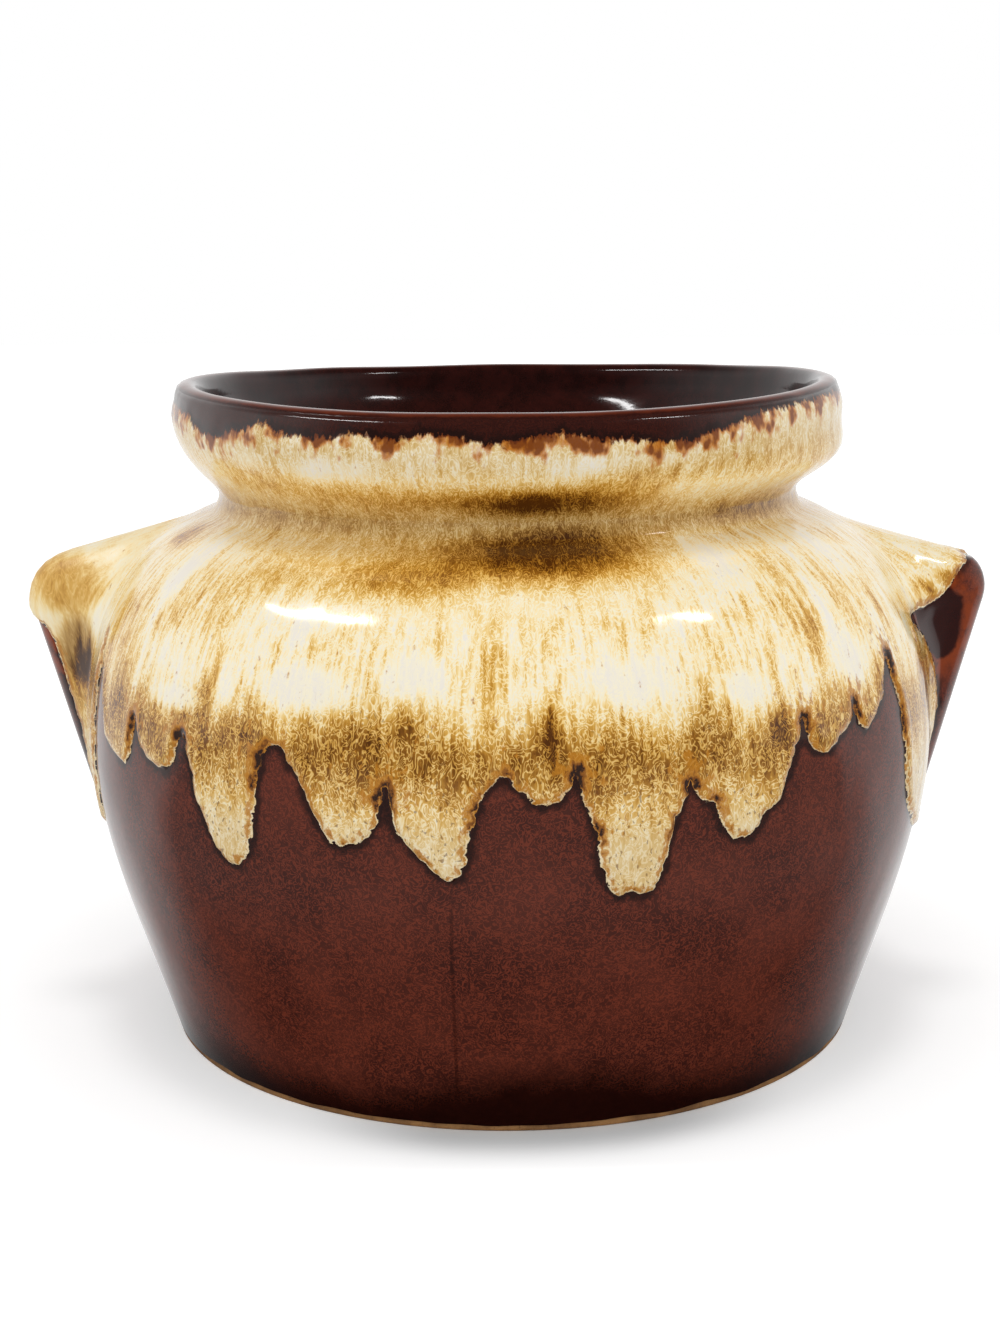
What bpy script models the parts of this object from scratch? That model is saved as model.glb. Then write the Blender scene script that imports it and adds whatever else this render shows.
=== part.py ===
"""Stoneware bean pot: a turned body with a rolled collar, two lug ears, a bare clay foot and a coat of
cream drip glaze. Metres, +Z up. The pot's axis is Z, it stands on Z = 0, and its ears lie along X."""

import math
from collections import namedtuple

import bmesh
import bpy
from mathutils import Matrix, Vector
from mathutils.geometry import interpolate_bezier

MM = 0.001

# Outer shape of the body, from the foot up. Each rise is measured from the height below it.
FOOT_RADIUS = 83.3 * MM
BELLY_RADIUS = 100.6 * MM
BELLY_RISE = 69.0 * MM
SHOULDER_RISE = 52.4 * MM
SHOULDER_SLOPE = math.radians(18)
NECK_RADIUS = 67.6 * MM
NECK_STEP = 2.8 * MM
NECK_RISE = 4.8 * MM
COLLAR_RADIUS = 78.0 * MM
COLLAR_RISE = 17.5 * MM
LIP_RISE = 6.4 * MM

# How the outer curves bend between those sizes, as shares of the stretch that each one spans.
BELLY_FULLNESS_BELOW = 0.22
BELLY_FULLNESS_ABOVE = 0.59
FOOT_FLARE_OUT = 0.5
FOOT_FLARE_UP = 0.36
SHOULDER_FLATNESS = 0.56
COLLAR_FULLNESS = 0.5
COLLAR_ROOT_FULLNESS = 0.21
GROOVE_DEPTH_FULLNESS = 0.45
GROOVE_RIM_FULLNESS = 0.4
GROOVE_RIM_LIFT = 0.2
LIP_FLATNESS = 0.25
LIP_FULLNESS = 0.6

# Walls of the body, and how its inner curves bend.
WALL = 6.0 * MM
COLLAR_WALL = 6.4 * MM
FLOOR = 7.0 * MM
FLOOR_CORNER = 10.0 * MM
FLOOR_CORNER_LEAN = 0.3
FLOOR_CORNER_FULLNESS = 0.4
INNER_NECK_FULLNESS = 0.4
INNER_SHOULDER_REACH = 0.8
INNER_SHOULDER_LIFT = 0.3

# Bare clay foot under the body.
FOOT_HEIGHT = 2.0 * MM
FOOT_WIDTH = 8.0 * MM
FOOT_EDGE = 0.6 * MM

# Ears, given by the sharp corner that their top edge and outer edge would meet at.
EAR_REACH = 16.2 * MM
EAR_CORNER_RISE = 38.1 * MM
EAR_TOP_SLOPE = math.radians(15.5)
EAR_SIDE_LEAN = math.radians(15.6)
EAR_CORNER_RADIUS = 8.0 * MM
EAR_END_DROP = 21.5 * MM
EAR_END_SLOPE = math.radians(60)
EAR_THICKNESS = 17.0 * MM
EAR_ROOT_WIDTH = 52.0 * MM
EAR_END_WIDTH = 22.0 * MM
EAR_LEAST_LIFT = 1.2 * MM
EAR_EDGE = 0.6 * MM
EAR_NOSE_FLATNESS = 0.65
EAR_NOSE_SHOULDER = (0.95, 0.86)
EAR_FLANK_START = 0.6
EAR_FLANK_HOLLOW = (1.08, 0.26)
EAR_FILLET_REACH = 1.7
GRAZING = 0.05

# Cream glaze coat and its hem of drips.
GLAZE = 0.6 * MM
RIM_BAND = 4.6 * MM
HEM_RISE = 15.0 * MM
EAR_HEM_RISE = 17.0 * MM
EAR_HEM_HALF_WIDTH = 13.0

# Each drip: its direction in degrees (0 at the front, 90 at the +X ear), its half width in degrees, and how
# many millimetres its tip hangs below the widest line of the belly. A tip above that line has a minus.
DRIPS = (
    (-72.0, 5.5, 6.0),
    (-58.0, 3.2, -4.0),
    (-49.0, 5.6, -6.0),
    (-36.0, 6.0, 11.0),
    (-20.5, 7.5, 4.0),
    (-7.5, 6.6, 9.6),
    (3.5, 5.2, -6.4),
    (13.8, 6.8, 13.6),
    (28.0, 6.6, 4.0),
    (41.5, 4.8, -10.0),
    (50.0, 3.8, -12.0),
    (72.0, 6.0, 10.0),
    (108.0, 6.5, 3.0),
    (122.0, 5.5, -6.0),
    (134.0, 6.5, 12.0),
    (147.0, 5.0, -3.0),
    (159.0, 7.0, 7.5),
    (172.0, 5.0, -7.0),
    (184.0, 7.0, 13.0),
    (197.0, 5.5, -2.0),
    (209.0, 6.5, 9.0),
    (222.0, 5.0, -6.0),
    (236.0, 6.5, 5.5),
    (252.0, 6.0, -1.0),
)
DRIP_ROUNDNESS = 2.4
CUT_MARGIN = 8.0 * MM

# Clearance between touching pieces, and how finely curves are divided.
SEAT_GAP = 0.3 * MM
TURN_STEPS = 56
HEM_STEPS = 144
LOW_WALL_POINTS = 8
SHOULDER_POINTS = 12
COLLAR_POINTS = 5
SMALL_CURVE_POINTS = 3
EAR_NOSE_POINTS = 4
EAR_FLANK_POINTS = 4
EAR_BORDER_COLUMNS = 2
MERGE_DISTANCE = 0.05 * MM
SHARP_ANGLE = math.radians(40)

# Heights and radii that follow from the sizes above.
BODY_BASE = FOOT_HEIGHT + SEAT_GAP
BELLY_HEIGHT = FOOT_HEIGHT + BELLY_RISE
SHOULDER_HEIGHT = BELLY_HEIGHT + SHOULDER_RISE
NECK_HEIGHT = SHOULDER_HEIGHT + NECK_RISE
COLLAR_HEIGHT = NECK_HEIGHT + COLLAR_RISE
LIP_HEIGHT = COLLAR_HEIGHT + LIP_RISE
SHOULDER_RADIUS = NECK_RADIUS + NECK_STEP
LIP_RADIUS = COLLAR_RADIUS - COLLAR_WALL / 2
GLAZE_TOP = LIP_HEIGHT - RIM_BAND
GLAZE_BOTTOM = BELLY_HEIGHT - max(drop for _, _, drop in DRIPS) * MM - CUT_MARGIN

# A level of the pot's outside: radius, height and outward normal, and the ear's lift and half angle there.
Row = namedtuple("Row", "radius height normal lift half_angle")


def clear_scene():
    for thing in list(bpy.data.objects):
        bpy.data.objects.remove(thing, do_unlink=True)


def make_material(name, colour, roughness):
    material = bpy.data.materials.new(name)
    material.use_nodes = True
    shader = material.node_tree.nodes["Principled BSDF"]
    shader.inputs["Base Color"].default_value = (*colour, 1.0)
    shader.inputs["Roughness"].default_value = roughness
    shader.inputs["Metallic"].default_value = 0.0
    return material


def add_object(name, bm, material=None):
    mesh = bpy.data.meshes.new(name)
    bm.to_mesh(mesh)
    bm.free()
    thing = bpy.data.objects.new(name, mesh)
    bpy.context.scene.collection.objects.link(thing)
    if material:
        mesh.materials.append(material)
        mesh.shade_smooth()
        mesh.set_sharp_from_angle(angle=SHARP_ANGLE)
    return thing


def curve(start, start_handle, end_handle, end, points):
    """Points of a Bezier curve in the (radius, height) plane, without its last one."""
    knots = [Vector((r, 0.0, z)) for r, z in (start, start_handle, end_handle, end)]
    return [(p.x, p.z) for p in interpolate_bezier(*knots, points + 1)][:-1]


def lower_wall(points):
    """Body wall from the widest line of the belly down to the foot."""
    rise = BELLY_HEIGHT - BODY_BASE
    return curve(
        (BELLY_RADIUS, BELLY_HEIGHT),
        (BELLY_RADIUS, BELLY_HEIGHT - rise * BELLY_FULLNESS_BELOW),
        (FOOT_RADIUS + (BELLY_RADIUS - FOOT_RADIUS) * FOOT_FLARE_OUT, BODY_BASE + rise * FOOT_FLARE_UP),
        (FOOT_RADIUS, BODY_BASE),
        points,
    ) + [(FOOT_RADIUS, BODY_BASE)]


def shoulder(points):
    """Body wall from the root of the neck out and down to the widest line of the belly."""
    reach = (BELLY_RADIUS - SHOULDER_RADIUS) * SHOULDER_FLATNESS
    return curve(
        (SHOULDER_RADIUS, SHOULDER_HEIGHT),
        (
            SHOULDER_RADIUS + reach * math.cos(SHOULDER_SLOPE),
            SHOULDER_HEIGHT - reach * math.sin(SHOULDER_SLOPE),
        ),
        (BELLY_RADIUS, BELLY_HEIGHT + SHOULDER_RISE * BELLY_FULLNESS_ABOVE),
        (BELLY_RADIUS, BELLY_HEIGHT),
        points,
    )


def collar_and_neck():
    """Outer side of the collar from its widest line down through the neck groove to the shoulder."""
    collar = curve(
        (COLLAR_RADIUS, COLLAR_HEIGHT),
        (COLLAR_RADIUS, COLLAR_HEIGHT - COLLAR_RISE * COLLAR_FULLNESS),
        (NECK_RADIUS, NECK_HEIGHT + COLLAR_RISE * COLLAR_ROOT_FULLNESS),
        (NECK_RADIUS, NECK_HEIGHT),
        COLLAR_POINTS,
    )
    groove = curve(
        (NECK_RADIUS, NECK_HEIGHT),
        (NECK_RADIUS, SHOULDER_HEIGHT + NECK_RISE * GROOVE_DEPTH_FULLNESS),
        (NECK_RADIUS + NECK_STEP * GROOVE_RIM_FULLNESS, SHOULDER_HEIGHT + NECK_RISE * GROOVE_RIM_LIFT),
        (SHOULDER_RADIUS, SHOULDER_HEIGHT),
        SMALL_CURVE_POINTS,
    )
    return collar + groove


def lip():
    """Rounded lip from the middle of its crest down to the collar's widest line."""
    return curve(
        (LIP_RADIUS, LIP_HEIGHT),
        (LIP_RADIUS + COLLAR_WALL * LIP_FLATNESS, LIP_HEIGHT),
        (COLLAR_RADIUS, COLLAR_HEIGHT + LIP_RISE * LIP_FULLNESS),
        (COLLAR_RADIUS, COLLAR_HEIGHT),
        SMALL_CURVE_POINTS,
    )


def normals_of(profile):
    """Outward unit normal at each point of a profile that runs down the outer side."""
    result = []
    for i in range(len(profile)):
        before = profile[max(i - 1, 0)]
        after = profile[min(i + 1, len(profile) - 1)]
        along = Vector((after[0] - before[0], after[1] - before[1])).normalized()
        result.append((-along.y, along.x))
    return result


def set_in(profile, depth):
    """The profile moved into the clay by depth."""
    return [(r - depth * n, z - depth * m) for (r, z), (n, m) in zip(profile, normals_of(profile))]


def inner_lip_and_neck(shoulder_end):
    """Inside of the collar and neck, from the middle of the crest down to the inner shoulder."""
    inner_collar = COLLAR_RADIUS - COLLAR_WALL
    inner_neck = NECK_RADIUS - WALL
    inner_lip = curve(
        (LIP_RADIUS, LIP_HEIGHT),
        (LIP_RADIUS - COLLAR_WALL * LIP_FLATNESS, LIP_HEIGHT),
        (inner_collar, COLLAR_HEIGHT + LIP_RISE * LIP_FULLNESS),
        (inner_collar, COLLAR_HEIGHT),
        SMALL_CURVE_POINTS,
    )
    collar = curve(
        (inner_collar, COLLAR_HEIGHT),
        (inner_collar, COLLAR_HEIGHT - COLLAR_RISE * COLLAR_FULLNESS),
        (inner_neck, NECK_HEIGHT + COLLAR_RISE * INNER_NECK_FULLNESS),
        (inner_neck, NECK_HEIGHT),
        SMALL_CURVE_POINTS,
    )
    neck = curve(
        (inner_neck, NECK_HEIGHT),
        (inner_neck, (NECK_HEIGHT + shoulder_end[1]) / 2),
        (shoulder_end[0] - WALL * INNER_SHOULDER_REACH, shoulder_end[1] + WALL * INNER_SHOULDER_LIFT),
        shoulder_end,
        SMALL_CURVE_POINTS,
    )
    return inner_lip + collar + neck


def floor_corner(wall_end):
    """Round corner from the inner wall's lowest point to the flat floor, and on to the floor's middle."""
    floor_height = BODY_BASE + FLOOR
    corner = wall_end[0] - (wall_end[1] - floor_height) * FLOOR_CORNER_LEAN
    bend = curve(
        wall_end,
        (corner, floor_height + FLOOR_CORNER * FLOOR_CORNER_FULLNESS),
        (corner, floor_height),
        (corner - FLOOR_CORNER, floor_height),
        SMALL_CURVE_POINTS,
    )
    return bend[1:] + [(corner - FLOOR_CORNER, floor_height), (0.0, floor_height)]


def inner_wall():
    """Inside of the body from the middle of the crest down to the middle of the floor."""
    belly = set_in(shoulder(SHOULDER_POINTS // 2) + lower_wall(LOW_WALL_POINTS), WALL)
    wall = [(r, z) for r, z in belly if z > BODY_BASE + FLOOR + FLOOR_CORNER]
    return inner_lip_and_neck(wall[0]) + wall + floor_corner(wall[-1])


def turned(name, profile, material, closed=False):
    """A solid of revolution. The profile runs down its outer side."""
    bm = bmesh.new()
    verts = [bm.verts.new((r, 0.0, z)) for r, z in profile]
    for a, b in zip(verts, verts[1:]):
        bm.edges.new((a, b))
    if closed:
        bm.edges.new((verts[-1], verts[0]))
    thing = add_object(name, bm, material)
    screw = thing.modifiers.new("Turn", "SCREW")
    screw.steps = TURN_STEPS
    screw.render_steps = TURN_STEPS
    screw.use_merge_vertices = True
    screw.merge_threshold = MERGE_DISTANCE
    screw.use_smooth_shade = True
    return thing


def make_vessel(material):
    outside = lip() + collar_and_neck() + shoulder(SHOULDER_POINTS) + lower_wall(LOW_WALL_POINTS)
    inside = list(reversed(inner_wall()))[:-1]
    return turned("vessel", inside + outside + [(0.0, BODY_BASE)], material)


def make_foot_ring(material):
    inner = FOOT_RADIUS - FOOT_WIDTH
    profile = (
        (inner, FOOT_HEIGHT),
        (FOOT_RADIUS, FOOT_HEIGHT),
        (FOOT_RADIUS, FOOT_EDGE),
        (FOOT_RADIUS - FOOT_EDGE, 0.0),
        (inner + FOOT_EDGE, 0.0),
        (inner, FOOT_EDGE),
    )
    return turned("foot_ring", profile, material, closed=True)


class EarOutline:
    """The ear seen from the front: its top, side and end edges, with a round corner at the tip."""

    def __init__(self):
        self.top = Vector((math.sin(EAR_TOP_SLOPE), math.cos(EAR_TOP_SLOPE)))
        self.side = Vector((math.cos(EAR_SIDE_LEAN), -math.sin(EAR_SIDE_LEAN)))
        self.end = Vector((math.cos(EAR_END_SLOPE), -math.sin(EAR_END_SLOPE)))
        corner = Vector((BELLY_RADIUS + EAR_REACH, BELLY_HEIGHT + EAR_CORNER_RISE))
        end_height = BELLY_HEIGHT - EAR_END_DROP
        end_radius = corner.x - (corner.y - end_height) * math.tan(EAR_SIDE_LEAN)
        self.edges = (
            (self.top, self.top.dot(corner)),
            (self.side, self.side.dot(corner)),
            (self.end, self.end.dot(Vector((end_radius, end_height)))),
        )
        spread = 1.0 + self.top.dot(self.side)
        self.centre = corner - (self.top + self.side) * EAR_CORNER_RADIUS / spread

    def lift(self, point, normal):
        """How far the ear's edge stands off the body at a point of its profile, along the normal there."""
        start = Vector(point)
        way = Vector(normal)
        facing = [(edge, reach) for edge, reach in self.edges if edge.dot(way) > GRAZING]
        length = min((reach - edge.dot(start)) / edge.dot(way) for edge, reach in facing)
        if length <= 0.0:
            return 0.0
        hit = start + way * length - self.centre
        along_top = hit.dot(Vector((self.top.y, -self.top.x)))
        along_side = hit.dot(Vector((-self.side.y, self.side.x)))
        if along_top > 0.0 and along_side > 0.0:
            to_centre = self.centre - start
            middle = to_centre.dot(way)
            miss = to_centre.length_squared - middle * middle
            return middle + math.sqrt(max(EAR_CORNER_RADIUS**2 - miss, 0.0))
        return length


def ear_section():
    """Columns across an ear: each one's share of the half width, from the middle, and of the lift."""
    nose = EAR_THICKNESS / EAR_ROOT_WIDTH
    round_nose = curve(
        (0.0, 1.0),
        (nose * EAR_NOSE_FLATNESS, 1.0),
        (nose * EAR_NOSE_SHOULDER[0], EAR_NOSE_SHOULDER[1]),
        (nose, EAR_FLANK_START),
        EAR_NOSE_POINTS,
    )
    flank = curve(
        (nose, EAR_FLANK_START),
        (nose * EAR_FLANK_HOLLOW[0], EAR_FLANK_HOLLOW[1]),
        (nose * EAR_FILLET_REACH, 0.0),
        (1.0, 0.0),
        EAR_FLANK_POINTS,
    )
    half = round_nose + flank + [(1.0, 0.0)]
    return [(-across, share) for across, share in reversed(half[1:])] + half


def ear_rows(outline):
    """Rows of the shoulder and wall, which the ears stand on."""
    profile = shoulder(SHOULDER_POINTS) + lower_wall(LOW_WALL_POINTS)
    corner = BELLY_HEIGHT + EAR_CORNER_RISE
    end = BELLY_HEIGHT - EAR_END_DROP
    rows = []
    for (radius, height), normal in zip(profile, normals_of(profile)):
        down = min(max((corner - height) / (corner - end), 0.0), 1.0)
        width = EAR_ROOT_WIDTH + (EAR_END_WIDTH - EAR_ROOT_WIDTH) * down
        half_angle = math.asin(width / 2 / BELLY_RADIUS)
        rows.append(Row(radius, height, normal, outline.lift((radius, height), normal), half_angle))
    return rows


def collar_rows(half_angle):
    """Rows from the glaze's top edge down the collar and the neck groove, where the ears don't reach."""
    profile = lip() + collar_and_neck() + [(SHOULDER_RADIUS, SHOULDER_HEIGHT)]
    normals = normals_of(profile)
    rows = []
    for i in range(1, len(profile) - 1):
        (above_radius, above_height), (radius, height) = profile[i - 1], profile[i]
        if height < GLAZE_TOP < above_height:
            share = (GLAZE_TOP - height) / (above_height - height)
            top_radius = radius + share * (above_radius - radius)
            rows.append(Row(top_radius, GLAZE_TOP, normals[i], 0.0, half_angle))
        if height < GLAZE_TOP:
            rows.append(Row(radius, height, normals[i], 0.0, half_angle))
    return rows


def body_point(row, angle, lift=0.0):
    """A point of the body's outside on a row at an angle from the +X ear, moved out by lift."""
    out, up = row.normal
    return Vector(
        (
            row.radius * math.cos(angle) + lift * out,
            row.radius * math.sin(angle),
            row.height + lift * up,
        )
    )


def fill_grid(bm, grid, around=False):
    """Faces between neighbouring rows of vertices, which run from the top down. around closes each row."""
    last = len(grid[0]) if around else len(grid[0]) - 1
    for upper, lower in zip(grid, grid[1:]):
        for j in range(last):
            k = (j + 1) % len(upper)
            bm.faces.new((upper[j], lower[j], lower[k], upper[k]))


def raised(row, across, share):
    """A point of the pot's outside, ear included, on a row at a share of the ear's half angle there."""
    lift = row.lift * share
    if row.lift > EAR_LEAST_LIFT:
        lift = max(lift, SEAT_GAP + EAR_EDGE)
    return body_point(row, across * row.half_angle, lift)


def make_ear(name, turn, outline, material):
    """One ear, from its seat on the body out to its rounded edge, turned about the pot's axis."""
    section = ear_section()
    bm = bmesh.new()
    seat = []
    face = []
    for row in ear_rows(outline):
        if row.lift > EAR_LEAST_LIFT:
            seats = [body_point(row, across * row.half_angle, SEAT_GAP) for across, _ in section]
            seat.append([bm.verts.new(point) for point in seats])
            face.append([bm.verts.new(raised(row, across, share)) for across, share in section])
    fill_grid(bm, seat)
    fill_grid(bm, face)
    bmesh.ops.bridge_loops(bm, edges=[edge for edge in bm.edges if edge.is_boundary])
    bmesh.ops.rotate(bm, verts=bm.verts, matrix=Matrix.Rotation(turn, 3, "Z"))
    bmesh.ops.recalc_face_normals(bm, faces=bm.faces)
    return add_object(name, bm, material)


def degrees_apart(one, other):
    return abs((one - other + 180.0) % 360.0 - 180.0)


def hem_height(angle):
    """Height of the cream coat's lower edge at an angle in degrees, 0 at the front and 90 at the +X ear."""
    top = BELLY_HEIGHT + HEM_RISE
    for ear in (90.0, 270.0):
        away = degrees_apart(angle, ear) / EAR_HEM_HALF_WIDTH
        top += EAR_HEM_RISE * math.exp(-(away**4))
    height = top
    for middle, half_width, drop in DRIPS:
        tip = BELLY_HEIGHT - drop * MM
        away = degrees_apart(angle, middle) / half_width
        height = min(height, tip + (top - tip) * away**DRIP_ROUNDNESS)
    return height


def make_drip_cutter():
    """Ring under the hem, whose wavy top edge is the outline of the drips."""
    bottom = GLAZE_BOTTOM - 2 * CUT_MARGIN
    inside = NECK_RADIUS
    outside = BELLY_RADIUS + EAR_REACH + CUT_MARGIN
    bm = bmesh.new()
    rings = []
    for i in range(HEM_STEPS):
        angle = 360.0 * i / HEM_STEPS
        way = Vector((math.sin(math.radians(angle)), -math.cos(math.radians(angle)), 0.0))
        top = hem_height(angle)
        corners = ((inside, bottom), (outside, bottom), (outside, top), (inside, top))
        rings.append([bm.verts.new(way * r + Vector((0.0, 0.0, z))) for r, z in corners])
    for i, ring in enumerate(rings):
        after = rings[(i + 1) % HEM_STEPS]
        for j in range(4):
            bm.faces.new((ring[j], after[j], after[(j + 1) % 4], ring[(j + 1) % 4]))
    bmesh.ops.triangulate(bm, faces=bm.faces)
    bmesh.ops.recalc_face_normals(bm, faces=bm.faces)
    cutter = add_object("drip_cutter", bm)
    cutter.hide_render = True
    cutter.display_type = "WIRE"
    return cutter


def half_ring(row):
    """Points of the pot's outside on a row, from one border of the +X ear round to the -X ear's."""
    step = 2 * math.pi / TURN_STEPS
    widest = math.asin(EAR_ROOT_WIDTH / 2 / BELLY_RADIUS)
    first = math.ceil(widest / step + 0.5)
    plain = [i * step for i in range(first, TURN_STEPS // 2 - first + 1)]
    gap = (plain[0] - row.half_angle) / (EAR_BORDER_COLUMNS + 1)
    border = [row.half_angle + gap * (i + 1) for i in range(EAR_BORDER_COLUMNS)]
    far_border = [math.pi - angle for angle in reversed(border)]
    points = [raised(row, across, share) for across, share in ear_section()]
    return points + [body_point(row, angle) for angle in border + plain + far_border]


def make_cream_glaze(outline, cutter, material):
    """The cream coat: a thin shell over collar, neck, shoulder and ears, cut to its hem of drips."""
    lower = [row for row in ear_rows(outline) if row.height > GLAZE_BOTTOM]
    rows = collar_rows(lower[0].half_angle) + lower
    bm = bmesh.new()
    grid = []
    for row in rows:
        front = half_ring(row)
        back = [Vector((-p.x, -p.y, p.z)) for p in front]
        grid.append([bm.verts.new(p) for p in front + back])
    fill_grid(bm, grid, around=True)
    bm.normal_update()
    for vert, normal in [(vert, vert.normal.copy()) for vert in bm.verts]:
        vert.co += normal * SEAT_GAP
    coat = add_object("cream_glaze", bm, material)
    shell = coat.modifiers.new("Coat", "SOLIDIFY")
    shell.thickness = GLAZE
    shell.offset = 1.0
    cut = coat.modifiers.new("Drips", "BOOLEAN")
    cut.operation = "DIFFERENCE"
    cut.solver = "EXACT"
    cut.object = cutter
    return coat


def main():
    clear_scene()
    brown = make_material("brown_glaze", (0.075, 0.022, 0.014), 0.16)
    clay = make_material("bare_clay", (0.47, 0.30, 0.15), 0.85)
    cream = make_material("cream_glaze", (0.66, 0.50, 0.29), 0.2)
    ear_brown = make_material("ear_brown_glaze", (0.12, 0.025, 0.012), 0.16)
    outline = EarOutline()
    make_vessel(brown)
    make_foot_ring(clay)
    make_ear("right_ear", 0.0, outline, ear_brown)
    make_ear("left_ear", math.pi, outline, ear_brown)
    make_cream_glaze(outline, make_drip_cutter(), cream)


main()
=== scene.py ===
# %% [markdown]
# # A stoneware bean pot with a drip glaze
#
# The real pot is cast in one piece of clay, dipped in a dark brown glaze and then dipped upside down in a
# thick cream one. In the kiln the cream melts, runs down the shoulder and stops in a hem of drips.
# This lesson follows the same order: the brown pot first, then its ears, its bare foot, and the cream coat.
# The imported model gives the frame. Every new piece takes its place from it, and nothing there is moved.

# %% Load the frame
import math
from collections import namedtuple

import bmesh
import bpy
from mathutils import Matrix, Vector, noise
from mathutils.geometry import interpolate_bezier
from mathutils.kdtree import KDTree


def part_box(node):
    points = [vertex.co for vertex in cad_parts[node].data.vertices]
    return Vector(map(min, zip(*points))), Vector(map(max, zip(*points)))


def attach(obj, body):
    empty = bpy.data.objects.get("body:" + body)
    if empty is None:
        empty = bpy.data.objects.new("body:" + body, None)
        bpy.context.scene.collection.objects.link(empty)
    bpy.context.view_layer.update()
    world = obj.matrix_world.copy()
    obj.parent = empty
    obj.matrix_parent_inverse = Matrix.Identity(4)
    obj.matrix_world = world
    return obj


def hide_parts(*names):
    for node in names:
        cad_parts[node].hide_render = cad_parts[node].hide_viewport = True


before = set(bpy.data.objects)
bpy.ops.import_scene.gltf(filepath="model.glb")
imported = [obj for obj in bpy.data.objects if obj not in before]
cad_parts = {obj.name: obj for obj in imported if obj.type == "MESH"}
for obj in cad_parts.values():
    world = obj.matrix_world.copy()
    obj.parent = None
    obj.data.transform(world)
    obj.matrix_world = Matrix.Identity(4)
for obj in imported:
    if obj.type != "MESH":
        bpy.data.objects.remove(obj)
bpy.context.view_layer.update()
print("The frame's nodes:", ", ".join(sorted(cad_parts)))

# %% [markdown]
# ## Sizes
#
# The main sizes are read from the frame's boxes, so the dressed pot can't drift away from the solids.
# What the solids leave out, such as the full lip and the glaze's thickness, is named here in millimetres.

# %% Sizes from the frame, and the small ones beside them
MM = 0.001
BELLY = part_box("vessel")[1].x / MM
LIP_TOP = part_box("vessel")[1].z / MM
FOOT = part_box("foot_ring")[1].x / MM
FOOT_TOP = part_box("foot_ring")[1].z / MM
BELLY_HEIGHT = 71.0
COLLAR, COLLAR_HEIGHT = 78.4, 146.5
NECK, NECK_HEIGHT = 68.0, 128.9
GROOVE, GROOVE_HEIGHT = 70.6, 123.9
LIP_MIDDLE = 75.0
LIP_CREST = LIP_TOP + 0.6
GLAZE_END = 1.5
WALL = 6.0
INNER_FLOOR = 9.3
print(f"Belly {2 * BELLY:.1f} mm, foot {2 * FOOT:.1f} mm, height {LIP_TOP:.1f} mm")

# %% [markdown]
# ## The profile
#
# A turned pot is one curve, swung round an axis. The curve is cut here into five stretches, each a cubic
# Bezier between two places that matter: crest, collar, neck groove, shoulder and wall. A Bezier needs only
# four points for each, and it meets its neighbour without a kink where the handles line up.

# %% The curve of the outside, from the crest of the lip down to the foot
OUTSIDE = (
    ((LIP_MIDDLE, LIP_CREST), (77.6, LIP_CREST), (COLLAR, 151.4), (COLLAR, COLLAR_HEIGHT)),
    ((COLLAR, COLLAR_HEIGHT), (COLLAR, 137.5), (NECK, 132.5), (NECK, NECK_HEIGHT)),
    ((NECK, NECK_HEIGHT), (NECK, 126.9), (68.8, 125.3), (GROOVE, GROOVE_HEIGHT)),
    ((GROOVE, GROOVE_HEIGHT), (86.9, 118.6), (BELLY, 103.0), (BELLY, BELLY_HEIGHT)),
    ((BELLY, BELLY_HEIGHT), (BELLY, 49.0), (91.2, 26.5), (FOOT + 0.3, GLAZE_END)),
)
CURVE_POINTS = 200

# One level of the outside: radius, height, the outward normal, and the way down the curve from the crest.
Level = namedtuple("Level", "radius height out up along")


def curve_points(stretches):
    """Dense points along the stretches, as pairs of radius and height in millimetres."""
    points = []
    for stretch in stretches:
        knots = [Vector((r, z, 0.0)) for r, z in stretch]
        points += [(p.x, p.y) for p in interpolate_bezier(*knots, CURVE_POINTS)[:-1]]
    return points + [stretches[-1][-1]]


def levels_along(points, spacing):
    """Levels at the spacing that a function of the height asks for, with the last point kept."""
    chosen = []
    along = 0.0
    due = 0.0
    for i, (radius, height) in enumerate(points):
        before, after = points[max(i - 1, 0)], points[min(i + 1, len(points) - 1)]
        way = Vector((after[0] - before[0], after[1] - before[1])).normalized()
        if i:
            along += math.dist(points[i - 1], points[i])
        if along >= due or i == len(points) - 1:
            chosen.append(Level(radius, height, -way.y, way.x, along))
            due = along + spacing(height)
    return chosen


outside = curve_points(OUTSIDE)
print(f"The outside is a curve of {levels_along(outside, lambda height: 1.0)[-1].along:.0f} mm")

# %% [markdown]
# ## The hem of drips
#
# Glaze runs where it is thick, so each drip has its own length and lean. The front ones are set out one by
# one, as pairs of an angle round the pot (0 is the front, 90 the right ear) and a height. The photograph
# doesn't show the back, so the drips there follow a formula: a rounded tip between two notches.

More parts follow.
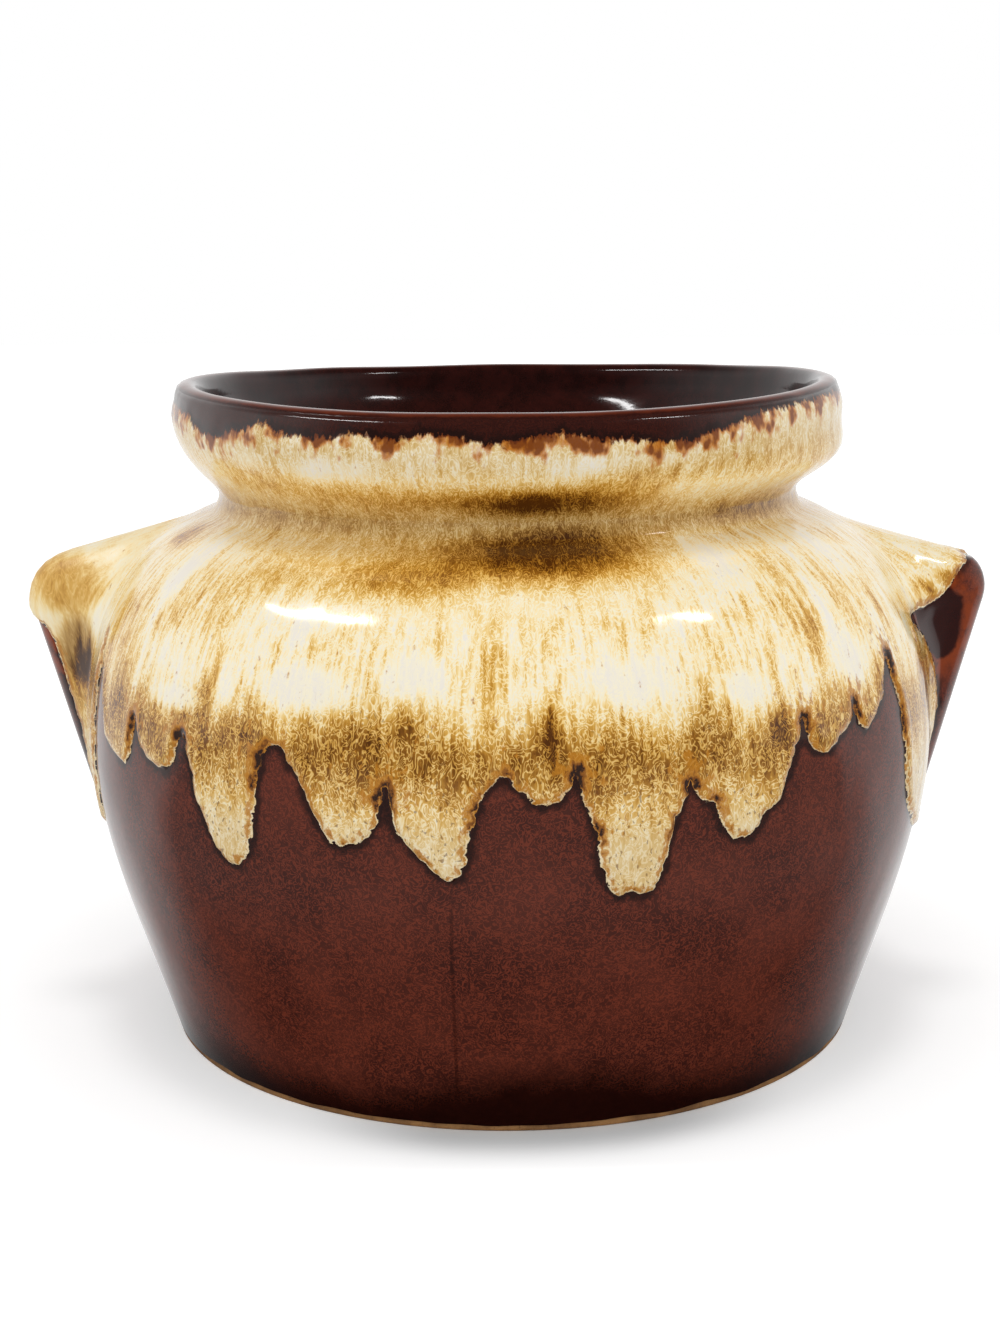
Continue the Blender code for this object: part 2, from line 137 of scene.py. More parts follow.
# %% The hem, as a height at each angle round the pot
FRONT_HEM = (
    (-89.9, 76.0), (-89.4, 66.0), (-88.3, 58.0), (-86.6, 53.0), (-84.0, 50.6), (-80.0, 50.3), (-76.5, 53.0),
    (-74.6, 62.0), (-73.6, 74.0), (-72.8, 84.0), (-72.6, 93.0), (-72.6, 98.75), (-71.4, 95.0),
    (-69.2, 89.5), (-67.2, 84.5), (-65.9, 80.0), (-64.6, 77.2), (-60.6, 75.0), (-57.9, 74.6),
    (-56.4, 76.6), (-55.8, 81.0), (-55.1, 86.0), (-54.4, 82.4), (-53.4, 79.8), (-51.2, 78.2),
    (-49.3, 76.8), (-47.2, 76.9), (-45.5, 79.3), (-44.7, 84.5), (-43.9, 85.4), (-43.1, 81.3),
    (-42.1, 77.4), (-41.4, 72.5), (-39.8, 67.8), (-38.2, 62.4), (-36.5, 59.8), (-35.0, 59.6),
    (-33.2, 62.4), (-32.1, 69.2), (-31.7, 74.4), (-31.3, 80.0), (-30.8, 84.4), (-29.6, 86.8),
    (-28.2, 86.4), (-27.0, 83.5), (-25.4, 79.8), (-24.4, 76.0), (-23.0, 72.0), (-21.9, 68.6),
    (-20.2, 66.8), (-18.4, 68.0), (-16.9, 70.1), (-15.7, 72.3), (-15.1, 76.6), (-14.6, 80.6),
    (-14.2, 76.0), (-13.5, 71.2), (-11.7, 67.8), (-10.0, 64.4), (-8.3, 61.9), (-7.3, 61.0),
    (-6.1, 62.6), (-5.3, 66.0), (-4.8, 71.4), (-4.2, 75.4), (-3.4, 79.0), (-1.9, 82.3),
    (-0.8, 83.6), (-0.1, 81.2), (1.4, 79.2), (2.3, 77.6), (3.3, 77.1), (5.2, 77.9), (6.5, 80.4),
    (7.3, 83.6), (7.8, 79.4), (8.7, 74.6), (9.5, 71.4), (9.8, 66.6), (10.3, 62.8), (11.0, 59.4),
    (12.3, 57.2), (13.7, 57.8), (15.1, 56.7), (16.6, 57.9), (17.4, 60.6), (18.0, 65.0), (18.6, 69.6),
    (19.4, 73.4),
    (20.4, 76.6), (20.9, 80.4), (21.6, 77.0), (22.9, 75.5), (24.1, 75.2), (24.8, 71.4), (25.8, 68.4),
    (26.9, 66.7), (28.9, 66.5), (30.3, 68.9), (31.5, 71.6), (33.1, 73.2), (34.0, 76.0), (34.9, 79.0),
    (35.8, 82.4), (36.9, 85.4), (37.6, 89.4), (38.4, 84.2), (39.3, 82.2), (41.1, 80.9), (43.1, 82.2),
    (44.3, 84.1), (46.6, 85.6), (47.2, 90.4), (47.9, 85.0), (49.8, 82.9), (52.2, 85.4), (54.7, 88.5),
    (56.0, 92.0), (57.2, 94.6), (57.9, 97.2), (58.5, 92.0), (59.4, 86.4), (60.3, 79.0), (60.9, 70.6),
    (61.9, 64.0), (64.2, 59.4), (67.2, 56.0), (70.6, 52.5), (74.0, 50.2), (77.0, 49.8), (79.5, 51.6),
    (82.0, 56.0), (84.0, 61.6), (86.0, 68.4), (88.0, 76.6), (89.8, 86.0),
)
# Each back drip: its direction, its half width in degrees, and the height of its tip.
BACK_DRIPS = (
    (98.0, 8.0, 60.0), (108.5, 5.0, 69.0), (122.0, 5.5, 77.0), (134.0, 6.5, 59.0), (147.0, 5.0, 74.0),
    (159.0, 7.0, 63.5), (172.0, 5.0, 78.0), (184.0, 7.0, 58.0), (197.0, 5.5, 73.0), (209.0, 6.5, 62.0),
    (222.0, 5.0, 77.0), (236.0, 6.5, 65.5), (250.0, 5.4, 72.0), (263.0, 8.0, 56.0),
)
NOTCH_TOP = 87.0
DRIP_POWER = 2.6
# How far, in degrees, a back drip's flanks wander, and over how many degrees.
BACK_LEAN, BACK_LEAN_SPAN = 1.1, 3.0


def hem_height(angle):
    """Height of the cream's lower edge in millimetres, at an angle in degrees."""
    turned = (angle + 90.0) % 360.0 - 90.0
    if FRONT_HEM[0][0] < turned < FRONT_HEM[-1][0]:
        for (a, low), (b, high) in zip(FRONT_HEM, FRONT_HEM[1:]):
            if a <= turned < b:
                return low + (high - low) * (turned - a) / (b - a)
    height = NOTCH_TOP
    for middle, half_width, tip in BACK_DRIPS:
        lean = BACK_LEAN * noise.noise(Vector((turned / BACK_LEAN_SPAN, tip, 0.0)))
        away = abs(turned - middle + lean) / half_width
        if away < 1.0:
            height = min(height, tip + (NOTCH_TOP - tip) * away**DRIP_POWER)
    return height


HEM_STEP = 0.1
hem = [hem_height(i * HEM_STEP) for i in range(round(360.0 / HEM_STEP))]
print(f"Lowest drip {min(hem):.1f} mm, highest notch {max(hem):.1f} mm")

# %% [markdown]
# A drip's edge is a round bead, and the brown glaze darkens beside it. Both depend on the distance to the
# hem and not on the height above it, so the hem's points go into a k-d tree, which finds the nearest one
# fast. A little noise on that distance gives the edge its fray. The same search tells a notch from a tip:
# the hem is higher there than its average nearby.

# %% Distance to the hem, and how deep in a notch a place is
HALF_TURN = 180.0
ROUND = math.pi * BELLY
HEM_FINE = 0.35
# The hem is held once round and an eighth more at either end, so that a search never meets its end.
EXTRA = 8
NOTCH_SPAN, NOTCH_DEPTH = 15, 2.0
# Pairs of the fray's size and of its span along the hem, in millimetres.
FRAY = ((0.5, 4.0), (0.6, 1.7))


def across(angle):
    """Way round the belly in millimetres for an angle in degrees."""
    return angle / HALF_TURN * ROUND


def hem_search():
    """A k-d tree of the hem, and for each of its points how much it lies in a notch."""
    count = len(hem)
    window = range(-NOTCH_SPAN, NOTCH_SPAN + 1)
    samples = []
    for i in range(-count // EXTRA, count + count // EXTRA):
        low, high = hem[i % count], hem[(i + 1) % count]
        nearby = sum(hem[(i + k) % count] for k in window) / len(window)
        pieces = max(1, math.ceil(abs(high - low) / HEM_FINE))
        for k in range(pieces):
            share = k / pieces
            place = Vector((across((i + share) * HEM_STEP), low + (high - low) * share, 0.0))
            samples.append((place, min(max((low - nearby) / NOTCH_DEPTH, 0.0), 1.0)))
    tree = KDTree(len(samples))
    for i, (place, _) in enumerate(samples):
        tree.insert(place, i)
    tree.balance()
    return tree, [notch for _, notch in samples]


hem_tree, hem_notch = hem_search()


def to_hem(angle, height):
    """Signed distance to the hem, above zero in the cream, and the notch value at the nearest point."""
    turned = angle % 360.0
    place = Vector((across(turned), height, 0.0))
    _, index, away = hem_tree.find(place)
    i = turned / HEM_STEP
    low, high = hem[int(i) % len(hem)], hem[(int(i) + 1) % len(hem)]
    edge = low + (high - low) * (i - int(i))
    fray = sum(size * noise.noise(place / span) for size, span in FRAY)
    return (away if height > edge else -away) + fray, hem_notch[index]


print(f"The hem is held as {len(hem_notch)} points")

# %% [markdown]
# ## The ears
#
# Each ear is a lug that the mould leaves on the side: a roof that carries the shoulder outwards, a fin
# under it with a dished face, and a thick rounded border. Seen from the front it is bounded by three
# straight edges: roof, side and lower end. For every level of the body the ear's lift is the way from the
# body out to those edges. Across the ear that lift falls off, round at the crest and hollow at the root,
# so ear and body flow together.

# %% How far an ear lifts the body's surface
EAR_CORNER = Vector((BELLY + 17.2, 110.0))
ROOF_SLOPE = math.radians(15.5)
SIDE_LEAN = math.radians(15.6)
END_SLOPE = math.radians(58)
END_HEIGHT = 49.5
ROOF = Vector((math.sin(ROOF_SLOPE), math.cos(ROOF_SLOPE)))
SIDE = Vector((math.cos(SIDE_LEAN), -math.sin(SIDE_LEAN)))
END = Vector((math.cos(END_SLOPE), -math.sin(END_SLOPE)))
END_POINT = Vector((EAR_CORNER.x - (EAR_CORNER.y - END_HEIGHT) * math.tan(SIDE_LEAN), END_HEIGHT))
RIGHT, LEFT = 90.0, 270.0
CORNER_RADIUS = {RIGHT: 9.5, LEFT: 10.5}
ROOF_BOW = {RIGHT: -1.2, LEFT: 0.2}
BOW_START, BOW_LENGTH = 70.0, 42.0
# An edge that runs within this of a level's normal is passed over, because the two meet too far out.
GRAZING = 0.05


def ear_reach(level, ear):
    """Way from the body out to the ear's edge in its middle plane, along the level's normal."""
    start = Vector((level.radius, level.height))
    way = Vector((level.out, level.up))
    corner = CORNER_RADIUS[ear]
    centre = EAR_CORNER - (ROOF + SIDE) * corner / (1.0 + ROOF.dot(SIDE))
    bow = math.sin(math.pi * min(max((level.radius - BOW_START) / BOW_LENGTH, 0.0), 1.0))
    reaches = []
    for edge, far in ((ROOF, EAR_CORNER), (SIDE, EAR_CORNER), (END, END_POINT)):
        if edge.dot(way) > GRAZING:
            extra = ROOF_BOW[ear] * bow if edge is ROOF else 0.0
            reaches.append((edge.dot(far) + extra - edge.dot(start)) / edge.dot(way))
    length = min(reaches)
    hit = start + way * length - centre
    past_roof = hit.dot(Vector((ROOF.y, -ROOF.x))) > 0.0
    past_side = hit.dot(Vector((-SIDE.y, SIDE.x))) > 0.0
    if length > 0.0 and past_roof and past_side:
        to_centre = centre - start
        middle = to_centre.dot(way)
        miss = to_centre.length_squared - middle * middle
        length = min(length, middle + math.sqrt(max(corner**2 - miss, 0.0)))
    return max(length, 0.0)


NOSE_HALF, ROOT_HALF, END_HALF = 8.4, 27.0, 12.0
NOSE_DROP = 0.4
NOSE_GROWTH = 0.35
NOSE_POWER = 2.6
ROOT_POWER = 3.2


def ear_share(off, height):
    """Share of the reach that is left at a way off from the ear's middle plane, in millimetres."""
    down = min(max((EAR_CORNER.y - height) / (EAR_CORNER.y - END_HEIGHT), 0.0), 1.0)
    root = ROOT_HALF + (END_HALF - ROOT_HALF) * down
    nose = NOSE_HALF * root / ROOT_HALF * (1.0 + NOSE_GROWTH * down)
    if off >= root:
        return 0.0
    if off < nose:
        return 1.0 - NOSE_DROP * (off / nose) ** NOSE_POWER
    return (1.0 - NOSE_DROP) * ((root - off) / (root - nose)) ** ROOT_POWER


def soft_step(low, high, value):
    """0 below low, 1 above high and a smooth rise between them."""
    share = min(max((value - low) / (high - low), 0.0), 1.0)
    return share * share * (3.0 - 2.0 * share)


PROBE = Level(BELLY, 100.0, 1.0, 0.0, 0.0)
print(f"An ear stands {ear_reach(PROBE, RIGHT):.1f} mm off the belly at {PROBE.height:.0f} mm")

# %% [markdown]
# The ear's flat faces aren't flat: the mould hollows them, and that leaves the border standing proud. A
# height over the body can't fold under itself, so the hollow is a second move, towards the middle plane.

# %% The pot's outside with its ears, at any level and angle
DISH = 1.3
DISH_FROM, DISH_FULL = -1.2, 3.2
# Half the clay that the hollow leaves, and the least lift that an ear has where it is hollowed.
DISH_KEEP = 1.5
# Pairs of distance from the axis and height, as the hollow is seen from the front.
DISH_OUTLINE = (
    (98.2, 97.0), (100.6, 100.6), (104.9, 102.4), (110.0, 100.6), (109.3, 95.0), (107.3, 88.5),
    (105.2, 81.5), (104.2, 75.0), (103.4, 81.0), (101.4, 88.5), (99.4, 93.5),
)
# Painted shade: the hollow under the ear's ledge, drawn near black, in the same way.
HOLLOW_SHADE_OUTLINE = (
    (95.4, 100.2), (98.4, 103.0), (104.5, 104.6), (108.8, 101.4), (108.4, 92.4), (106.2, 88.4),
    (102.8, 87.2), (99.6, 90.4), (97.2, 95.6),
)
NO_EDGE = 30.0
# The rim's wave with its number of turns, its rise at the sides, and how far down the collar both reach.
WAVE, WAVE_TURNS = 0.35, 2.2
SIDE_RISE = 2.2
RIM_REACH = 12.0
SAG, SAG_HEIGHT, SAG_HALF = 2.6, 138.0, 7.0
SAG_FROM, SAG_FULL = 0.3, 0.9
# Beyond these, in degrees and millimetres, an ear lifts nothing.
LIFT_HALF_TURN = 25.0
LIFT_TOP, LIFT_BOTTOM = GROOVE_HEIGHT + 0.5, END_HEIGHT - 4.0
reach_cache = {}


def inside_outline(outline, x, z):
    """Signed distance to a closed outline, above zero inside it."""
    inside = False
    nearest = NO_EDGE
    for (ax, az), (bx, bz) in zip(outline, outline[1:] + outline[:1]):
        if (az > z) != (bz > z) and x < (bx - ax) * (z - az) / (bz - az) + ax:
            inside = not inside
        length = (bx - ax) ** 2 + (bz - az) ** 2
        share = min(max(((x - ax) * (bx - ax) + (z - az) * (bz - az)) / length, 0.0), 1.0)
        nearest = min(nearest, math.hypot(x - ax - share * (bx - ax), z - az - share * (bz - az)))
    return nearest if inside else -nearest


def bump(value, middle, half):
    """1 at the middle, 0 from a half width away, smooth between."""
    return soft_step(half, 0.0, abs(value - middle))


def freehand(level, angle):
    """What a hand adds: the rim waves and stands higher at the sides, and the collar sags on the right."""
    turn = math.radians(angle)
    radius, height = level.radius, level.height
    if height > NECK_HEIGHT:
        share = soft_step(COLLAR_HEIGHT - RIM_REACH, LIP_TOP, height)
        place = Vector((math.sin(turn) * WAVE_TURNS, math.cos(turn) * WAVE_TURNS, 4.0))
        height += WAVE * share * noise.noise(place)
        height += SIDE_RISE * share * abs(math.sin(turn)) ** 3
        sagging = soft_step(SAG_FROM, SAG_FULL, math.sin(turn))
        radius += SAG * bump(level.height, SAG_HEIGHT, SAG_HALF) * sagging
    return radius, height


def reach_at(level, ear):
    """The ear's reach at a level, worked out once for each."""
    key = (level.along, ear)
    if key not in reach_cache:
        reach_cache[key] = ear_reach(level, ear)
    return reach_cache[key]


def nearest_ear(angle):
    """The ear on this half of the pot, and the signed way from its middle plane in degrees."""
    ear = RIGHT if math.sin(math.radians(angle)) > 0.0 else LEFT
    return ear, (angle - ear + 180.0) % 360.0 - 180.0


def lift_at(level, angle):
    """The ear's lift in millimetres."""
    ear, off = nearest_ear(angle)
    if abs(off) > LIFT_HALF_TURN or not LIFT_BOTTOM <= level.height <= LIFT_TOP:
        return 0.0
    return reach_at(level, ear) * ear_share(abs(math.radians(off)) * BELLY, level.height)


def outside_point(level, angle):
    """A point of the pot's brown surface in millimetres, with the ear's lift there."""
    lift = lift_at(level, angle)
    turn = math.radians(angle)
    radius, height = freehand(level, angle)
    radius += lift * level.out
    height += lift * level.up
    x, y = radius * math.sin(turn), -radius * math.cos(turn)
    if lift > DISH_KEEP:
        hollow = DISH * soft_step(DISH_FROM, DISH_FULL, inside_outline(DISH_OUTLINE, abs(x), height))
        room = abs(y) - DISH_KEEP
        if hollow > 0.0 and room > 0.0:
            # This blend of the two stays under both, so the faces never meet.
            y -= math.copysign((hollow**-3 + room**-3) ** (-1.0 / 3.0), y)
    return Vector((x, y, height)), lift


widest = max(outside_point(level, RIGHT)[0].x for level in levels_along(outside, lambda height: 1.0))
print(f"The right ear reaches {widest:.1f} mm from the axis")

# %% [markdown]
# On the ears the cream keeps to the ledge and to a strip at the root, and each face was dipped differently:
# one is nearly all cream, the other brown. Both are outlines on the face, as the camera sees it, and the
# back of each ear borrows the other's.

# %% Where cream ends on an ear, on the side that faces the camera and on the one behind
# Pairs of distance from the axis and height; the cream lies on the side of the axis and above.
CUT_EAR = (
    (97.0, 40.0), (99.0, 48.0), (101.3, 57.0), (102.3, 66.0), (103.3, 75.0), (103.0, 81.0), (101.4, 87.0),
    (99.4, 92.4), (96.6, 95.6), (93.4, 98.8), (96.4, 99.9), (100.2, 100.8), (103.4, 102.6), (106.0, 105.2),
    (109.4, 109.2), (112.0, 112.5), (114.5, 118.0), (115.0, 140.0), (60.0, 140.0), (60.0, 40.0),
)
FULL_EAR = (
    (98.0, 40.0), (100.4, 49.1), (102.3, 57.7), (103.5, 69.0), (104.4, 74.6), (105.6, 78.6), (106.4, 81.0),
    (107.0, 83.5), (107.6, 87.0), (108.8, 91.0), (110.6, 96.0), (118.0, 100.0), (135.0, 103.0),
    (135.0, 140.0), (60.0, 140.0), (60.0, 40.0),
)
FACE_BLEND_FROM, FACE_BLEND_TO = 1.0, 8.0
LIFT_FROM, LIFT_FULL = 0.3, 1.1
# How far round from an ear's middle, in degrees, and how high its outlines count.
EAR_FROM, EAR_TO = 17.0, 22.0
EAR_OUTLINES_TOP = 117.0
# Pairs of the size and the span of the fray on an ear's faces, in millimetres.
EAR_FRAY = ((0.5, 3.5), (0.3, 1.2))


def ear_cream(ear, point):
    """Signed distance to the cream's edge on an ear's faces, above zero in the cream."""
    front, back = (CUT_EAR, FULL_EAR) if ear == RIGHT else (FULL_EAR, CUT_EAR)
    fray = sum(size * noise.noise(point / span) for size, span in EAR_FRAY)
    behind = soft_step(FACE_BLEND_FROM, FACE_BLEND_TO, point.y)
    x = abs(point.x)
    reach = 0.0
    if behind < 1.0:
        reach += (1.0 - behind) * inside_outline(front, x, point.z)
    if behind > 0.0:
        reach += behind * inside_outline(back, x, point.z)
    return reach + fray


def way_to_hem(level, angle, point, lift):
    """Signed distance to the cream's lower edge on body or ear, and the notch value."""
    hem_way, notch = to_hem(angle, point.z if lift > LIFT_FROM else level.height)
    ear, off = nearest_ear(angle)
    if abs(off) < EAR_TO and level.height < EAR_OUTLINES_TOP:
        beside = NO_EDGE * soft_step(EAR_FROM, EAR_TO, abs(off))
        hem_way = min(hem_way, ear_cream(ear, point) + beside)
    return hem_way, notch


cover = inside_outline(FULL_EAR, 105.0, 110.0)
print(f"On the left ear's face the cream's edge is {cover:.0f} mm from a point at its top")

# %% [markdown]
# ## A turned mesh that can be bent afterwards
#
# Spinning the profile gives clean rings and columns, but a perfectly round pot. So the spin makes the mesh,
# each vertex remembers its level in a layer, and a placing function then moves it: it adds the ears, the
# wavy rim, and columns that crowd where an edge needs them. Sculpting by hand would do the same by eye.

# %% Spin a chain of levels, then place every vertex
FULL_TURN = 360.0
# Only between these heights, and outside this radius, can brown lie near the hem.
HEM_BAND = (44.0, 108.0)
HEM_RADIUS = BELLY - 12.0
# The lip's crest, where the brown breaks to rust, and how fast the painted shade inside the pot darkens.
CREST_FROM, CREST_FULL = LIP_TOP - 1.0, LIP_TOP + 0.4
INSIDE_SHADE_FALL = -40.0


def spun(levels, angles, place, closed=True):
    """Spin the levels through the angles, move each vertex to place(level, angle), and say which it was."""
    bm = bmesh.new()
    mark = bm.verts.layers.int.new("level")
    chain = [bm.verts.new((level.radius * MM, 0.0, level.height * MM)) for level in levels]
    for i, vert in enumerate(chain):
        vert[mark] = i
    for above, below in zip(chain, chain[1:]):
        bm.edges.new((above, below))
    steps = len(angles) if closed else len(angles) - 1
    sweep = FULL_TURN if closed else steps
    bmesh.ops.spin(bm, geom=bm.verts[:] + bm.edges[:], axis=(0, 0, 1), cent=(0, 0, 0),
                   angle=math.radians(sweep), steps=steps, use_merge=closed)
    where = []
    for vert in bm.verts:
        turned = math.degrees(math.atan2(vert.co.y, vert.co.x)) % FULL_TURN
        column = round(turned * steps / sweep) % len(angles)
        where.append((levels[vert[mark]], angles[column]))
        vert.co = place(*where[-1]) * MM
    return bm, where


def write_brown_measures(bm, where):
    """Give a brown piece what its glaze depends on: hem, lip crest, painted shade in ear hollows and
    inside.
    """
    names = ("hem", "thin", "hollow_shade", "inside_shade")
    layers = {name: bm.verts.layers.float.new(name) for name in names}
    for vert, (level, angle) in zip(bm.verts[:], where):
        point = vert.co / MM
        lift = lift_at(level, angle) if level.out > 0.0 else 0.0
        vert[layers["hem"]] = -NO_EDGE
        vert[layers["hollow_shade"]] = -NO_EDGE
        if HEM_BAND[0] < level.height < HEM_BAND[1] and math.hypot(point.x, point.y) > HEM_RADIUS:
            vert[layers["hem"]] = way_to_hem(level, angle, point, lift)[0]
        if lift > LIFT_FULL:
            vert[layers["hollow_shade"]] = inside_outline(HOLLOW_SHADE_OUTLINE, abs(point.x), point.z)
        vert[layers["thin"]] = soft_step(CREST_FROM, CREST_FULL, level.height)
        outward = vert.normal.x * point.x + vert.normal.y * point.y
        inner = math.hypot(point.x, point.y) < BELLY - 2.0 and level.height > INNER_FLOOR - 1.0
        # Painted shade inside the pot, darker where the wall faces the axis.
        vert[layers["inside_shade"]] = soft_step(0.0, INSIDE_SHADE_FALL, outward) if inner and lift < LIFT_FROM else 0.0


def finish_mesh(bm, name, smooth_below=50.0):
    """Turn a bmesh into an object that is shaded smooth, but for edges sharper than the angle."""
    mesh = bpy.data.meshes.new(name)
    bm.to_mesh(mesh)
    bm.free()
    mesh.shade_smooth()
    mesh.set_sharp_from_angle(angle=math.radians(smooth_below))
    piece = bpy.data.objects.new(name, mesh)
    bpy.context.scene.collection.objects.link(piece)
    return piece


# %% [markdown]
# ## The brown pot
#
# Outside, lip, inside and underside are one closed skin, as the glaze is. The bare foot is left out of it:
# the glaze stops just above in a line that wavers, because a sponge wiped it.

# %% The inside and the underside join the outside's curve
INSIDE = (
    ((LIP_MIDDLE, LIP_CREST), (73.4, LIP_CREST), (72.1, 151.6), (72.0, 148.6)),
    ((72.0, 148.6), (71.8, 142.6), (61.6, 136.5), (61.6, 128.2)),
    ((61.6, 128.2), (61.6, 121.5), (66.4, 119.0), (75.1, 114.7)),
    ((75.1, 114.7), (88.4, 108.0), (BELLY - WALL, 91.0), (BELLY - WALL, BELLY_HEIGHT)),
    ((BELLY - WALL, BELLY_HEIGHT), (BELLY - WALL, 52.0), (86.6, 31.0), (80.6, 15.2)),
    ((80.6, 15.2), (79.0, 11.0), (75.5, INNER_FLOOR), (69.8, INNER_FLOOR)),
    ((69.8, INNER_FLOOR), (50.0, INNER_FLOOR), (25.0, INNER_FLOOR), (0.0, INNER_FLOOR)),
)
UNDERSIDE = (
    ((FOOT + 0.3, GLAZE_END), (FOOT + 0.1, GLAZE_END), (FOOT - 0.3, 1.7), (FOOT - 0.6, 2.2)),
    ((FOOT - 0.6, 2.2), (FOOT - 3.0, 2.3), (FOOT - 6.0, 2.3), (FOOT - 9.0, 2.6)),
    ((FOOT - 9.0, 2.6), (FOOT - 20.0, 3.2), (30.0, 3.2), (0.0, 3.2)),
)
BODY_COLUMNS = 480
GLAZE_WAVER, WAVER_TURNS, WAVER_TOP = 0.45, 9.0, 2.0
DOUBLE = 1e-6


def outside_spacing(height):
    """Rings lie close at the collar and where the hem runs."""
    return 0.95 if height > NECK_HEIGHT else 2.2 if height > 97.0 or height < 52.0 else 1.5


def inside_spacing(height):
    """Rings lie close at the collar, and few are needed on the floor."""
    return 1.6 if height > NECK_HEIGHT else 3.4 if height > INNER_FLOOR + 0.3 else 9.0


def under_spacing(height):
    """Rings lie close at the glaze's edge, and few are needed under the pot."""
    return 0.5 if height < 2.15 else 8.0


def place_body(level, angle):
    """The body's own surface: round, with a wavy rim and a wavering lower edge of the glaze."""
    turn = math.radians(angle)
    radius, height = freehand(level, angle)
    if height < WAVER_TOP and level.radius > FOOT - 0.5:
        height += GLAZE_WAVER * noise.noise(Vector((math.sin(turn), math.cos(turn), 0.0)) * WAVER_TURNS)
    return Vector((radius * math.sin(turn), -radius * math.cos(turn), height))


inner_levels = levels_along(curve_points(INSIDE), inside_spacing)
outer_levels = levels_along(outside, outside_spacing)
under_levels = levels_along(curve_points(UNDERSIDE), under_spacing)
body_levels = inner_levels[:0:-1] + outer_levels + under_levels[1:]
body_angles = [i * FULL_TURN / BODY_COLUMNS for i in range(BODY_COLUMNS)]
bm, where = spun(body_levels, body_angles, place_body)
bmesh.ops.recalc_face_normals(bm, faces=bm.faces[:])
bm.normal_update()
write_brown_measures(bm, where)
bmesh.ops.remove_doubles(bm, verts=bm.verts[:], dist=DOUBLE)
bmesh.ops.recalc_face_normals(bm, faces=bm.faces[:])
print(f"The body has {len(body_levels)} rings of {BODY_COLUMNS} and {len(bm.faces)} faces")
pot_body = finish_mesh(bm, "pot_body")

# %% [markdown]
# The foot is bare clay, a ring with corners that a sponge has rounded. Bevelling its edges is quicker and
# rounder than drawing them.

# %% The bare foot
FOOT_WIDTH = 8.0
FOOT_BEVEL = 0.6
# The ring's top reaches a little way up under the brown skin.
FOOT_CREST = FOOT_TOP + 0.4
FOOT_COLUMNS = 240

bm = bmesh.new()
corners = [(FOOT - FOOT_WIDTH, 0.0), (FOOT, 0.0), (FOOT, FOOT_CREST), (FOOT - FOOT_WIDTH, FOOT_CREST)]
ring = [bm.verts.new((radius * MM, 0.0, height * MM)) for radius, height in corners]
bm.faces.new(ring)
bmesh.ops.bevel(bm, geom=ring, offset=FOOT_BEVEL * MM, segments=3, profile=0.5,
                affect="VERTICES", material=-1)
bmesh.ops.delete(bm, geom=bm.faces[:], context="FACES_ONLY")
bmesh.ops.spin(bm, geom=bm.verts[:] + bm.edges[:], axis=(0, 0, 1), cent=(0, 0, 0),
               angle=math.radians(FULL_TURN), steps=FOOT_COLUMNS, use_merge=True)
bmesh.ops.remove_doubles(bm, verts=bm.verts[:], dist=DOUBLE)
bmesh.ops.recalc_face_normals(bm, faces=bm.faces[:])
foot_edge = finish_mesh(bm, "foot_edge", 60.0)
print(f"The foot has {len(foot_edge.data.polygons)} faces")

# %% [markdown]
# ## The brown ears
#
# Each ear is its own closed piece: a sheet that follows the lifted surface, and a copy of it that lies just
# inside the body's wall, with the rims of the two bridged. Its edges end under the body's skin, so the ear
# grows out of the body without a step.

# %% The two ears
EAR_TOP, EAR_BOTTOM = GROOVE_HEIGHT - 0.4, END_HEIGHT - 3.5
EAR_HALF_TURN = 17.0
EAR_STEPS = 100
EAR_SPACING = 0.9
SHEET_SINK, SEAT_SINK = 0.12, 0.6
ear_levels = [level for level in levels_along(outside, lambda height: EAR_SPACING)
              if EAR_BOTTOM < level.height < EAR_TOP]


def lifted(level, angle):
    """A point of the ear's outer sheet, sunk a hair so that it ends under the body's skin."""
    point, _ = outside_point(level, angle)
    turn = math.radians(angle)
    outward = Vector((level.out * math.sin(turn), -level.out * math.cos(turn), level.up))
    return point - outward * SHEET_SINK


def seated(level, angle):
    """A point of the sheet that lies inside the wall."""
    turn = math.radians(angle)
    radius = level.radius - level.out * SEAT_SINK
    height = level.height - level.up * SEAT_SINK
    return Vector((radius * math.sin(turn), -radius * math.cos(turn), height))


def make_ear(ear, name):
    """One ear: the lifted sheet and its seat in the wall, bridged at the rim."""
    angles = [ear - EAR_HALF_TURN + 2.0 * EAR_HALF_TURN * i / EAR_STEPS for i in range(EAR_STEPS + 1)]
    bm, where = spun(ear_levels, angles, lifted, closed=False)
    write_brown_measures(bm, where)
    seat, _ = spun(ear_levels, angles, seated, closed=False)
    spare = bpy.data.meshes.new("seat")
    seat.to_mesh(spare)
    seat.free()
    bm.from_mesh(spare)
    bpy.data.meshes.remove(spare)
    rims = [edge for edge in bm.edges if edge.is_boundary]
    bmesh.ops.bridge_loops(bm, edges=rims)
    bmesh.ops.recalc_face_normals(bm, faces=bm.faces[:])
    left_open = sum(edge.is_boundary for edge in bm.edges)
    print(f"{name}: {len(bm.faces)} faces, {len(rims)} edges bridged, {left_open} left open")
    return finish_mesh(bm, name)


ear_right = make_ear(RIGHT, "ear_right")
ear_left = make_ear(LEFT, "ear_left")

# %% [markdown]
# ## The cream coat
#
# The thick glaze is a skin of its own over collar, shoulder and ears. It could be a shell with a hole for
# each notch, but its edge is far too free for that. So it is spun too, and then each vertex is pushed out
# by a thickness that depends on its distance to the hem: a bead behind the edge, nothing on the edge, and
# below the brown skin beyond it, where the faces are deleted. The edge that shows is where the skins cross.

